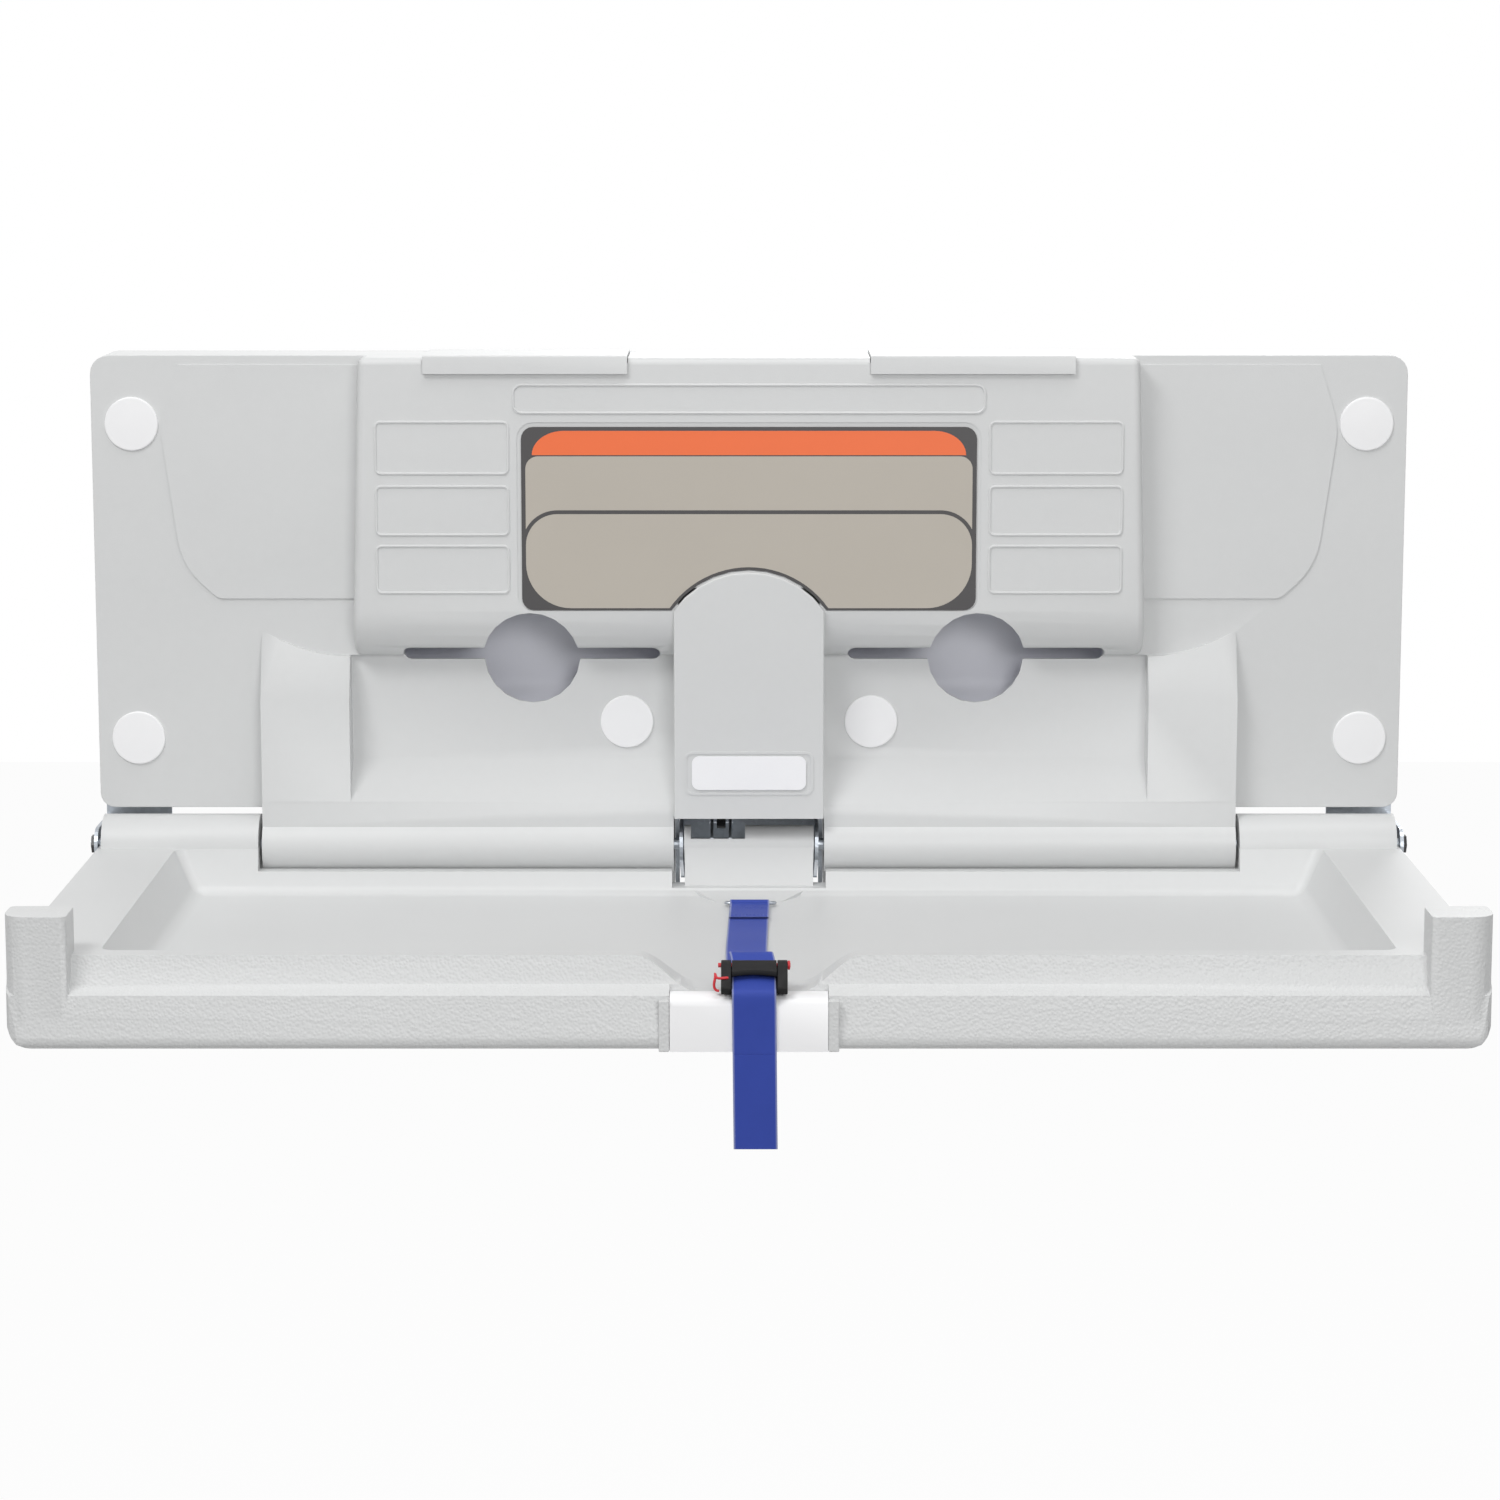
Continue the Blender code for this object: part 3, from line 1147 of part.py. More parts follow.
def dip_outline(grow=0.0):
    """The dip in the front rim, an S-curve on each side."""
    floor = -BED_LEDGE_HEIGHT - grow
    steps = ARC_STEPS * 2
    side = []
    for i in range(steps + 1):
        t = i / steps
        across = DIP_FLOOR_HALF + (DIP_TOP_HALF - DIP_FLOOR_HALF) * t + grow
        rise = floor + (BED_LEDGE_HEIGHT + grow) * (1.0 - math.cos(math.pi * t)) / 2
        side.append((across, rise))
    right = [*side, (DIP_TOP_HALF + grow, OVERRUN)]
    left = [(-u, v) for u, v in reversed(right)]
    return left + right


def make_bed_tray():
    tray = prism("bed_tray", bed_side_profile(), "YZ", -BED_HALF, BED_HALF, GREY)
    keep(tray, prism("bed_front_outline", bed_front_outline(), "XZ",
                     ahead(BED_FRONT + OVERRUN), ahead(-OVERRUN)))
    keep(tray, prism("bed_plan", bed_plan_outline(), "XY", -BED_HEIGHT - OVERRUN, OVERRUN))
    hollow = prism("bed_hollow", bed_side_profile(WALL), "YZ", -BED_HALF + WALL, BED_HALF - WALL)
    keep(hollow, prism("bed_hollow_front", bed_front_outline(WALL), "XZ",
                       ahead(BED_FRONT + OVERRUN), ahead(-OVERRUN)))
    keep(hollow, prism("bed_hollow_plan", bed_plan_outline(WALL), "XY",
                       -BED_HEIGHT - OVERRUN, OVERRUN))
    cut(hollow, tray_pocket("tray_skin", WALL))
    for clearance in rear_clearances("rear_skin", WALL):
        cut(hollow, clearance)
    cut(hollow, prism("dip_skin", dip_outline(WALL), "XZ", ahead(BED_FRONT + OVERRUN),
                      ahead(TRAY_FLOOR_FRONT - WALL)))
    cut(tray, hollow)
    for word, side in SIDES:
        add_knuckle(tray, word, side)
        add_post(tray, word, side)
    cut(tray, tray_pocket("tray_pocket"))
    cut(tray, prism("rim_dip", dip_outline(), "XZ", ahead(BED_FRONT + OVERRUN),
                    ahead(TRAY_FLOOR_FRONT)))
    cut(tray, *rear_clearances("rear_clearance"))
    join(tray, rod("centre_knuckle", "X", (HINGE_Y, 0.0), -CENTRE_HALF, CENTRE_HALF,
                   CENTRE_KNUCKLE_RADIUS))
    join(tray, centre_ramp("centre_ramp"))
    add_loop_seat(tray)
    cut_notch(tray)
    fit_insert(tray)
    for number, y in enumerate((ahead(BOLT_NEAR), ahead(BOLT_FAR)), start=1):
        cut(tray, rod(f"tray_bolt_hole_{number}", "Z", (STRUT_X, y), -TRAY_DEPTH - WALL * 2,
                      -TRAY_DEPTH - WALL / 4, BOLT_RADIUS + GAP, sides=SMALL_SIDES))
    pan_seat = pan_outline(-GAP)
    cut(tray, prism("pan_seat", pan_seat, "XY", -BED_HEIGHT - OVERRUN,
                    -BED_HEIGHT + PAN_THICKNESS * 2))
    cut(tray, rod("bed_rod_hole", "X", (HINGE_Y, 0.0), -BED_WIDTH, BED_WIDTH, ROD_HOLE_RADIUS))
    sleeve_seats(tray)
    on_bed(tray)
    return tray


def add_knuckle(tray, word, side):
    """An outer knuckle round the hinge line, rooted in the rim behind the tray."""
    ends = sorted((side * KNUCKLE_INNER, side * KNUCKLE_OUTER))
    join(tray, rod("knuckle_" + word, "X", (HINGE_Y, 0.0), *ends, KNUCKLE_RADIUS))


def add_post(tray, word, side):
    ends = sorted((side * (BED_HALF - POST_WIDTH), side * BED_HALF))
    front = ahead(POST_FRONT)
    corner = BED_PLAN_CORNER
    outer, inner = (side * BED_HALF, side * (BED_HALF - POST_WIDTH))
    plan = rounded(((outer, front, corner), (inner, front, POST_ROUND),
                    (inner, ahead(POST_REAR), POST_ROUND), (outer, ahead(POST_REAR), POST_ROUND)))
    post = prism("post_" + word, plan, "XY", -BED_HEIGHT + BED_SIDE_ROUND, POST_HEIGHT)
    soften(post, POST_ROUND / 2, 2)
    join(tray, post)


def rear_clearances(name, grow=0.0):
    """What is kept free of the tray so that the wall body's barrels, ridge and tower clear it."""
    radius = BARREL_RADIUS + REAR_CLEARANCE + grow
    far = ahead(REAR_RIM_REACH + grow)
    near = ahead(-OVERRUN)
    pieces = []
    for word, side in SIDES:
        ends = sorted((side * (CENTRE_HALF + GAP - grow), side * (KNUCKLE_INNER - GAP + grow)))
        pieces.append(rod(f"{name}_barrel_{word}", "X", (HINGE_Y, 0.0), *ends, radius))
        pieces.append(block(f"{name}_ridge_{word}", (ends[0], far, REAR_RIM_HEIGHT - grow),
                            (ends[1], near, OVERRUN + grow)))
    half = TOWER_CLEARANCE_HALF + grow
    pieces.append(block(name + "_tower", (-half, far - grow, RAMP_SHOULDER_HEIGHT - grow),
                        (half, near + grow, OVERRUN * 2)))
    return pieces


def ramp_line():
    """The ramp's upper side in the YZ plane, from the centre knuckle's front to the tray floor."""
    foot = -TRAY_DEPTH - GAP
    return [(ahead(CENTRE_KNUCKLE_RADIUS - GAP), 0.0), (ahead(RAMP_SHOULDER), RAMP_SHOULDER_HEIGHT),
            (ahead(RAMP_REACH), foot)]


def centre_ramp(name):
    """A ramp whose sides narrow towards the strap's loop, joined to the knuckle and the floor."""
    foot = -TRAY_DEPTH - WALL / 2
    under = [(ahead(RAMP_REACH), foot), (ahead(BED_REAR + WALL / 2), foot),
             (ahead(0.0), -CENTRE_KNUCKLE_RADIUS + GAP), (ahead(0.0), 0.0)]
    side = RAMP_HALF + WALL
    ramp = prism(name, ramp_line() + under, "YZ", -side, side)
    rear = ahead(-CENTRE_KNUCKLE_RADIUS)
    tip = ahead(RAMP_REACH + WALL)
    wedge = [(-RAMP_HALF, rear), (-RAMP_HALF, ahead(RAMP_SHOULDER)), (-RAMP_FOOT_HALF, tip),
             (RAMP_FOOT_HALF, tip), (RAMP_HALF, ahead(RAMP_SHOULDER)), (RAMP_HALF, rear)]
    keep(ramp, prism(name + "_plan", wedge, "XY", -BED_HEIGHT, OVERRUN))
    return ramp


def add_loop_seat(tray):
    """A low lug on the floor at the foot of the ramp, bored for the strap's loop."""
    half = LOOP_SEAT_WIDTH / 2
    near, far = ahead(LOOP_SEAT_NEAR), ahead(LOOP_SEAT_NEAR + LOOP_SEAT_LENGTH)
    top = -TRAY_DEPTH + LOOP_SEAT_HEIGHT
    lug = block("loop_seat", (STRAP_X - half, far, -TRAY_DEPTH - WALL / 2),
                (STRAP_X + half, near, top))
    join(tray, lug)
    centre = loop_bar()
    cut(tray, rod("loop_seat_hole", "X", centre, STRAP_X - half - WALL, STRAP_X + half + WALL,
                  LOOP_WIRE + GAP, sides=SMALL_SIDES))


def loop_bar():
    """Where the loop's rear bar passes through its lug, as (Y, Z)."""
    return (ahead(LOOP_SEAT_NEAR + LOOP_SEAT_LENGTH / 2), -TRAY_DEPTH + LOOP_SEAT_HEIGHT / 2)


def cut_notch(tray):
    """The notch in the centre knuckle where the strut's end and the crank move."""
    behind = ahead(-OVERRUN)
    cut(tray, block("notch", (NOTCH_LOW_X, ahead(NOTCH_FRONT), -BED_HEIGHT / 2),
                    (NOTCH_HIGH_X, behind, OVERRUN)))
    slope = (RAMP_SHOULDER - CENTRE_KNUCKLE_RADIUS) / -RAMP_SHOULDER_HEIGHT
    start = CENTRE_KNUCKLE_RADIUS - NOTCH_SKIN - NOTCH_UNDER * slope
    end = RAMP_SHOULDER - NOTCH_SKIN - WALL * slope
    window = [
        (behind, NOTCH_UNDER), (ahead(start), NOTCH_UNDER),
        (ahead(end), RAMP_SHOULDER_HEIGHT + WALL / 2), (ahead(end), NOTCH_FLOOR),
        (behind, NOTCH_FLOOR),
    ]
    cut(tray, prism("notch_window", window, "YZ", NOTCH_LOW_X, NOTCH_HIGH_X))


def fit_insert(tray):
    """Collars beside the white insert and the shallow seat that it lies in."""
    low = -BED_HEIGHT
    for word, side in SIDES:
        ends = sorted((side * INSERT_HALF, side * (INSERT_HALF + COLLAR_WIDTH)))
        collar = block("collar_" + word, (ends[0], ahead(BED_FRONT + COLLAR_PROUD), low),
                       (ends[1], ahead(BED_FRONT - WALL), -BED_LEDGE_HEIGHT - COLLAR_PROUD))
        soften(collar, COLLAR_PROUD / 2, 2)
        join(tray, collar)
    seat = insert_outline(GAP)
    cut(tray, prism("insert_seat", seat, "YZ", -INSERT_HALF - GAP, INSERT_HALF + GAP))


def insert_outline(grow=0.0):
    """The white insert in the YZ plane: a lip on the ledge and a face down the skirt."""
    front = BED_FRONT + INSERT_PROUD
    top = -BED_LEDGE_HEIGHT + INSERT_PROUD
    thick = INSERT_THICKNESS
    lip = BED_FACE_FOOT + RUNNING_GAP
    skirt = BED_LEDGE + INSERT_PROUD
    low = -BED_HEIGHT - (WALL if grow else 0.0)
    proud = OVERRUN if grow else 0.0
    return [
        (ahead(lip - grow), top + proud), (ahead(skirt + proud), top + proud),
        (ahead(front + proud), -BED_HEIGHT / 2), (ahead(front + proud), low),
        (ahead(front - thick - grow), low), (ahead(front - thick - grow), -BED_HEIGHT / 2),
        (ahead(skirt - thick - grow), top - thick - grow), (ahead(lip - grow), top - thick - grow),
    ]


def sleeve_seats(tray):
    for word, side in SIDES:
        ends = sorted((side * (KNUCKLE_INNER + SLEEVE_INSET), side * (KNUCKLE_OUTER + OVERRUN)))
        cut(tray, rod("sleeve_seat_" + word, "X", (HINGE_Y, 0.0), *ends, SLEEVE_RADIUS + GAP,
                      sides=SMALL_SIDES))


def make_sleeves():
    """A steel sleeve in each outer knuckle and a nylon bush at its outer end."""
    inner_radius = SLEEVE_RADIUS - SLEEVE_WALL
    for word, side in SIDES:
        bush_inner = side * (KNUCKLE_OUTER - BUSH_LENGTH)
        ends = sorted((side * (KNUCKLE_INNER + SLEEVE_INSET + GAP), bush_inner - side * GAP))
        for name, stops, material in (("knuckle_sleeve_", ends, ZINC),
                                      ("knuckle_bush_",
                                       sorted((bush_inner, side * KNUCKLE_OUTER)), NYLON)):
            piece = rod(name + word, "X", (HINGE_Y, 0.0), *stops, SLEEVE_RADIUS, material,
                        SMALL_SIDES)
            bore = inner_radius if material is ZINC else ROD_HOLE_RADIUS
            cut(piece, rod(name + word + "_bore", "X", (HINGE_Y, 0.0), stops[0] - WALL,
                           stops[1] + WALL, bore, sides=SMALL_SIDES))
            on_bed(piece)


def pan_outline(inset=0.0):
    half = BED_HALF - PAN_INSET - inset
    rear = ahead(BED_REAR + PAN_INSET / 2 + inset)
    front = ahead(BED_FRONT - PAN_INSET / 2 - inset)
    return rounded([(u, v, PAN_INSET / 2) for u, v in
                    ((-half, front), (half, front), (half, rear), (-half, rear))])


def make_bed_pan():
    pan = prism("bed_bottom_panel", pan_outline(), "XY", -BED_HEIGHT, -BED_HEIGHT + PAN_THICKNESS - GAP,
                GREY)
    on_bed(pan)


def make_front_insert():
    insert = prism("front_insert", insert_outline(), "YZ", -INSERT_HALF, INSERT_HALF, WHITE)
    on_bed(insert)


def crank_plate_outline():
    """One crank plate in the YZ plane: hub, lobe for the crank pin and the leg under the floor."""
    pin = (HINGE_Y + CRANK_SET_BACK, CRANK_RISE)
    return capsule((HINGE_Y, 0.0), pin, CRANK_HUB, CRANK_LOBE)


def crank_leg_outline():
    """The leg in the YZ plane, from the rod down through the window to the web under the floor."""
    top = -TRAY_DEPTH - WALL - GAP * 2
    front = NOTCH_FRONT - RUNNING_GAP * 2
    knee = RAMP_SHOULDER - NOTCH_SKIN - RUNNING_GAP * 4
    return [
        (ahead(-CRANK_HUB * 0.6), -CRANK_HUB * 0.5), (ahead(CRANK_HUB * 0.9), 0.0),
        (ahead(front - RUNNING_GAP * 3), NOTCH_UNDER), (ahead(knee), RAMP_SHOULDER_HEIGHT),
        (ahead(knee), top), (ahead(BRACKET_REACH), top),
        (ahead(BRACKET_REACH), top - BRACKET_HEIGHT), (ahead(CRANK_HUB * 0.4), top - BRACKET_HEIGHT),
    ]


def make_crank():
    """The steel crank bracket: two plates on the rod, joined by a web bolted under the floor."""
    inner = CRANK_FORK_HALF
    outer = inner + CRANK_PLATE
    top = -TRAY_DEPTH - WALL - GAP * 2
    web_low = top - CRANK_PLATE
    bracket = block("crank_bracket", (STRUT_X - inner - GAP, ahead(BRACKET_REACH - GAP), web_low),
                    (STRUT_X + inner + GAP, ahead(BRACKET_HEIGHT * 3), top - GAP), ZINC)
    for word, side in SIDES:
        ends = sorted((STRUT_X + side * inner, STRUT_X + side * outer))
        join(bracket, prism("crank_leg_" + word, crank_leg_outline(), "YZ", *ends))
        join(bracket, prism("crank_lobe_" + word, crank_plate_outline(), "YZ", *ends))
    pin = (HINGE_Y + CRANK_SET_BACK, CRANK_RISE)
    reach = outer + WALL
    cut(bracket, rod("crank_rod_hole", "X", (HINGE_Y, 0.0), STRUT_X - reach, STRUT_X + reach,
                     ROD_HOLE_RADIUS, sides=SMALL_SIDES))
    cut(bracket, rod("crank_pin_hole", "X", pin, STRUT_X - reach, STRUT_X + reach,
                     CRANK_PIN_RADIUS + GAP, sides=SMALL_SIDES))
    pin_reach = outer + CRANK_PLATE / 2
    on_bed(rod("crank_pin", "X", pin, STRUT_X - pin_reach, STRUT_X + pin_reach, CRANK_PIN_RADIUS,
               ZINC, SMALL_SIDES))
    profile = (
        (0.0, BOLT_REACH), (BOLT_RADIUS, BOLT_REACH), (BOLT_RADIUS, -GAP),
        (BOLT_HEAD_RADIUS, -GAP), (BOLT_HEAD_RADIUS, -BOLT_HEAD), (0.0, -BOLT_HEAD),
    )
    for number, y in enumerate((ahead(BOLT_NEAR), ahead(BOLT_FAR)), start=1):
        cut(bracket, rod(f"crank_bolt_hole_{number}", "Z", (STRUT_X, y), web_low - WALL, top + WALL,
                         BOLT_RADIUS + GAP, sides=SMALL_SIDES))
        bolt = turned(f"crank_bolt_{number}", profile, "Z", (STRUT_X, y, web_low), ZINC,
                      SMALL_SIDES)
        on_bed(bolt)
    on_bed(bracket)


def strap_ribbon(name, path, material=BLUE):
    """A strap whose middle line runs along path in the YZ plane, at the strap's thickness."""
    half = STRAP_THICKNESS / 2
    points = [Vector(p) for p in path]
    left, right = [], []
    for i, here in enumerate(points):
        before = points[max(i - 1, 0)]
        after = points[min(i + 1, len(points) - 1)]
        along = (after - before).normalized()
        across = Vector((-along.y, along.x)) * half
        left.append(tuple(here + across))
        right.append(tuple(here - across))
    width = STRAP_WIDTH / 2
    return prism(name, left + right[::-1], "YZ", STRAP_X - width, STRAP_X + width, material)


def buckle_place():
    """The buckle's own frame: its rear lower edge on the ledge, tilted down to the front."""
    height = -BED_LEDGE_HEIGHT + INSERT_PROUD + GAP
    lift = BUCKLE_LENGTH * math.sin(BUCKLE_TILT) + BUCKLE_LIFT
    place = Matrix.Translation((BUCKLE_X, ahead(BUCKLE_NEAR), height + lift))
    return place @ Matrix.Rotation(BUCKLE_TILT, 4, "X")


def make_strap():
    floor = -TRAY_DEPTH + GAP + STRAP_THICKNESS / 2
    bar_y, bar_z = loop_bar()
    wrap = LOOP_WIRE + GAP + STRAP_THICKNESS / 2
    front_bar = (bar_y - LOOP_LENGTH, bar_z + LOOP_WIRE)
    roll = arc(front_bar, wrap, 20.0, 190.0, ARC_STEPS)
    rear = [(roll[0][0] + LOOP_WIRE, roll[0][1] - LOOP_WIRE)]
    run = [(front_bar[0] - wrap * 2, floor + STRAP_THICKNESS), (front_bar[0] - wrap * 4, floor),
           (ahead(TRAY_FLOOR_FRONT - BUCKLE_LENGTH), floor)]
    near = buckle_place() @ Vector((0.0, BUCKLE_ROUND, BUCKLE_BASE))
    rise = [(ahead(TRAY_FLOOR_FRONT - TRAY_ROUND), floor + STRAP_THICKNESS * 2),
            (near.y + STRAP_THICKNESS * 3, near.z - STRAP_THICKNESS * 2),
            (near.y + STRAP_THICKNESS * 2, near.z + STRAP_THICKNESS * 2)]
    on_bed(strap_ribbon("strap_upper", rear + roll + run + rise))
    far = buckle_place() @ Vector((0.0, -BUCKLE_LENGTH, BUCKLE_BASE))
    pivot = tail_pivot()
    bend = STRAP_THICKNESS
    front = [(far.y - GAP * 2, far.z - GAP), (far.y - bend * 1.2, far.z - bend * 1.4),
             (far.y - bend * 1.5, far.z - bend * 4), (pivot[0], -BED_HEIGHT / 2 - bend * 4),
             (pivot[0], pivot[1] + TAIL_SLACK)]
    on_bed(strap_ribbon("strap_front", front))
    piece = strap_ribbon("strap_tail", [pivot, (pivot[0], TAIL_END)])
    hinge_piece(piece, "strap_tail_axis", (0.0, *pivot))


def tail_pivot():
    """The line at the foot of the insert that the strap's free end hangs from, as (Y, Z)."""
    face = ahead(BED_FRONT + INSERT_PROUD)
    return (face - GAP - STRAP_THICKNESS / 2, -BED_HEIGHT - TAIL_PIVOT_DROP)


def make_loop():
    """The strap's loop: one closed wire, its rear bar in the lug and its front bar in the strap."""
    bar_y, bar_z = loop_bar()
    half = LOOP_WIDTH / 2
    reach = LOOP_LENGTH
    lift = LOOP_WIRE
    curve = bpy.data.curves.new("strap_loop", "CURVE")
    curve.dimensions = "3D"
    curve.bevel_depth = LOOP_WIRE
    curve.bevel_resolution = 2
    corner = LOOP_LENGTH / 2
    outline = rounded(((-half, 0.0, corner * 0.9), (half, 0.0, corner * 0.9),
                       (half, -reach, corner * 0.9), (-half, -reach, corner * 0.9)))
    spline = curve.splines.new("POLY")
    spline.points.add(len(outline) - 1)
    for point, (u, v) in zip(spline.points, outline):
        point.co = (STRAP_X + u, bar_y + v, bar_z - v / reach * lift, 1.0)
    spline.use_cyclic_u = True
    on_bed(meshed("strap_loop", curve, Matrix.Identity(4), ZINC))


def make_buckle():
    place = buckle_place()
    half = BUCKLE_WIDTH / 2
    inner = half - BUCKLE_EAR
    frame = block("buckle_frame", (-half, -BUCKLE_LENGTH, 0.0), (half, 0.0, BUCKLE_EAR_HEIGHT), BLACK,
                  place)
    soften(frame, BUCKLE_ROUND, 2)
    cut(frame, block("buckle_channel", (-inner, -BUCKLE_LENGTH * 2, BUCKLE_BASE),
                     (inner, BUCKLE_LENGTH, BUCKLE_EAR_HEIGHT * 2), turn=place))
    pin = (-BUCKLE_PIN_BACK, BUCKLE_PIN_HEIGHT)
    cut(frame, rod("buckle_pin_hole", "X", pin, -BUCKLE_WIDTH, BUCKLE_WIDTH,
                   BUCKLE_PIN_RADIUS + GAP, sides=SMALL_SIDES, turn=place))
    on_bed(frame)
    reach = half + BUCKLE_PIN_PROUD
    red = rod("buckle_pin", "X", pin, -reach, reach, BUCKLE_PIN_RADIUS, RED, SMALL_SIDES, turn=place)
    on_bed(red)
    width = inner - RUNNING_GAP
    heel = arc(pin, LEVER_RADIUS, 90.0, -120.0, ARC_STEPS * 2)
    tip_y = pin[0] - LEVER_LENGTH
    tip_z = pin[1] + LEVER_RADIUS - LEVER_THICKNESS
    blade = [(tip_y, tip_z), (tip_y, tip_z + LEVER_THICKNESS)]
    lever = prism("buckle_lever", heel + blade, "YZ", -width, width, BLACK, place)
    cut(lever, rod("lever_hole", "X", pin, -BUCKLE_WIDTH, BUCKLE_WIDTH, BUCKLE_PIN_RADIUS + GAP,
                   sides=SMALL_SIDES, turn=place))
    axis_place = place @ Vector((0.0, *pin))
    hinge_piece(lever, "buckle_lever_axis", axis_place)


make_wall_body()
make_label_and_plate()
make_caps()
make_back_panel()
make_liner_bins()
make_lids()
make_hinge_steel()
make_gas_strut()
make_bed_tray()
make_sleeves()
make_bed_pan()
make_front_insert()
make_crank()
make_strap()
make_loop()
make_buckle()
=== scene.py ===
# %% [markdown]
# # A wall-mounted changing station with its bed folded down
#
# The real object is made of hollow plastic mouldings, a wall body, a bed and two liner lids, with
# a steel hinge line, a gas strut, a blue strap with a black buckle, and white screw caps. The solids
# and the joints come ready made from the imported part, so this lesson adds what a photograph shows on
# top of them: the finishes, the strap, the small fittings and the light.

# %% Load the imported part
import math

import bmesh
import bpy
from mathutils import Matrix, Vector


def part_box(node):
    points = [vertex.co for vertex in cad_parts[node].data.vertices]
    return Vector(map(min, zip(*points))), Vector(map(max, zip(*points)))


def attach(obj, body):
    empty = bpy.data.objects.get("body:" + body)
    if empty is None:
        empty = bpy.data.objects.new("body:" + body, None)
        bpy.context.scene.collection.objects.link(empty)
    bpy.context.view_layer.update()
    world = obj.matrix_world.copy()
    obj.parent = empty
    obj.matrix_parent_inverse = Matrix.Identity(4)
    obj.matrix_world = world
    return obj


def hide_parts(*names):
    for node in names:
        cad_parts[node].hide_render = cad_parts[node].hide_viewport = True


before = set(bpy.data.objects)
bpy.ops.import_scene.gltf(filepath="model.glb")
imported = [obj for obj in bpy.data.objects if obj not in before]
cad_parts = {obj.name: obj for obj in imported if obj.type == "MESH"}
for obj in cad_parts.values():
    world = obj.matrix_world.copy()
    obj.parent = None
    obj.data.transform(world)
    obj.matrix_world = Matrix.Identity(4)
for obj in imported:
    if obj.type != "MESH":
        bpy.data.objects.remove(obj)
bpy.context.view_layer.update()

# %% [markdown]
# ## Camera
#
# The photograph was taken from a little above the bed with a long lens, so the sides hardly taper.
# The lens and the downward tilt were worked out from the widths of the wall body and of the bed's
# front edge. A camera matched in this way lets each later step be compared with the photograph.

# %% Camera
CAMERA_PLACE = (0.0, -2.804, 0.514)
CAMERA_TILT = math.radians(9.28)

camera_data = bpy.data.cameras.new("camera")
camera_data.sensor_width = 36.0
camera_data.lens = 98.4
camera_data.shift_x = 0.0007
camera = bpy.data.objects.new("camera", camera_data)
camera.location = CAMERA_PLACE
camera.rotation_euler = (math.radians(90.0) - CAMERA_TILT, 0.0, 0.0)
bpy.context.scene.collection.objects.link(camera)
bpy.context.scene.camera = camera
print("camera:", CAMERA_PLACE, "lens", camera_data.lens)

# %% [markdown]
# ## Shader helpers
#
# Node maths is easier to read as plain expressions. One small class wraps a socket, and an expression
# such as `1 - mask * 0.3` adds the Math nodes that it needs. A second class holds one material, and
# its `node` method adds every other kind of node from its settings and inputs.

# %% Sockets as Python values
class Value:
    """A socket of a material, with the arithmetic that the finishes use."""

    def __init__(self, finish, socket):
        self.finish = finish
        self.socket = socket

    def math(self, operation, *others, clamp=False):
        inputs = {i: v for i, v in enumerate((self, *others))}
        return self.finish.node("ShaderNodeMath", inputs, operation=operation, use_clamp=clamp)

    def __add__(self, other):
        return self.math("ADD", other)

    def __sub__(self, other):
        return self.math("SUBTRACT", other)

    def __rsub__(self, other):
        return self.finish.node("ShaderNodeMath", {0: other, 1: self}, operation="SUBTRACT")

    def __mul__(self, other):
        return self.math("MULTIPLY", other)

    __radd__ = __add__
    __rmul__ = __mul__


print("a Value takes the operators + - * and any Math operation")

# %% One material
class Finish:
    """A material with its shader; plain numbers go straight onto the shader's own sockets."""

    def __init__(self, name, **sockets):
        self.material = bpy.data.materials.new(name)
        self.material.use_nodes = True
        self.tree = self.material.node_tree
        self.shader = self.tree.nodes["Principled BSDF"]
        for label, value in sockets.items():
            self.feed(label.replace("_", " ").title().replace("Ior", "IOR"), value)

    def connect(self, socket, value):
        if isinstance(value, Value):
            self.tree.links.new(value.socket, socket)
        else:
            socket.default_value = value

    def feed(self, label, value):
        self.connect(self.shader.inputs[label], value)

    def node(self, kind, inputs=(), output=0, stops=None, **settings):
        made = self.tree.nodes.new(kind)
        for name, value in settings.items():
            setattr(made, name, value)
        if stops:
            made.color_ramp.elements[0].position, made.color_ramp.elements[0].color = stops[0]
            made.color_ramp.elements[1].position, made.color_ramp.elements[1].color = stops[-1]
            for position, colour in stops[1:-1]:
                made.color_ramp.elements.new(position).color = colour
        for label, value in dict(inputs).items():
            self.connect(made.inputs[label], value)
        return Value(self, made.outputs[output])

    def place(self, stretch=(1.0, 1.0, 1.0)):
        """The object's own coordinates, stretched."""
        coordinates = self.node("ShaderNodeTexCoord", output="Object")
        return self.node("ShaderNodeMapping", {"Vector": coordinates, "Scale": stretch})

    def noise(self, size, detail=2.0, stretch=(1.0, 1.0, 1.0), output="Fac"):
        """Noise whose features are about size metres across."""
        inputs = {"Vector": self.place(stretch), "Scale": 1.0 / size, "Detail": detail}
        return self.node("ShaderNodeTexNoise", inputs, output=output)

    def blend(self, factor, first, second):
        """Two colours mixed by a factor."""
        made = self.tree.nodes.new("ShaderNodeMix")
        made.data_type = "RGBA"
        self.connect(made.inputs[0], factor)
        self.connect(made.inputs[6], first)
        self.connect(made.inputs[7], second)
        return Value(self, made.outputs[2])

    def bump(self, height, depth, under=None):
        """A surface normal raised by height, 0 to 1, times depth in metres."""
        inputs = {"Height": height, "Distance": depth, "Strength": 1.0}
        if under:
            inputs["Normal"] = under
        return self.node("ShaderNodeBump", inputs)


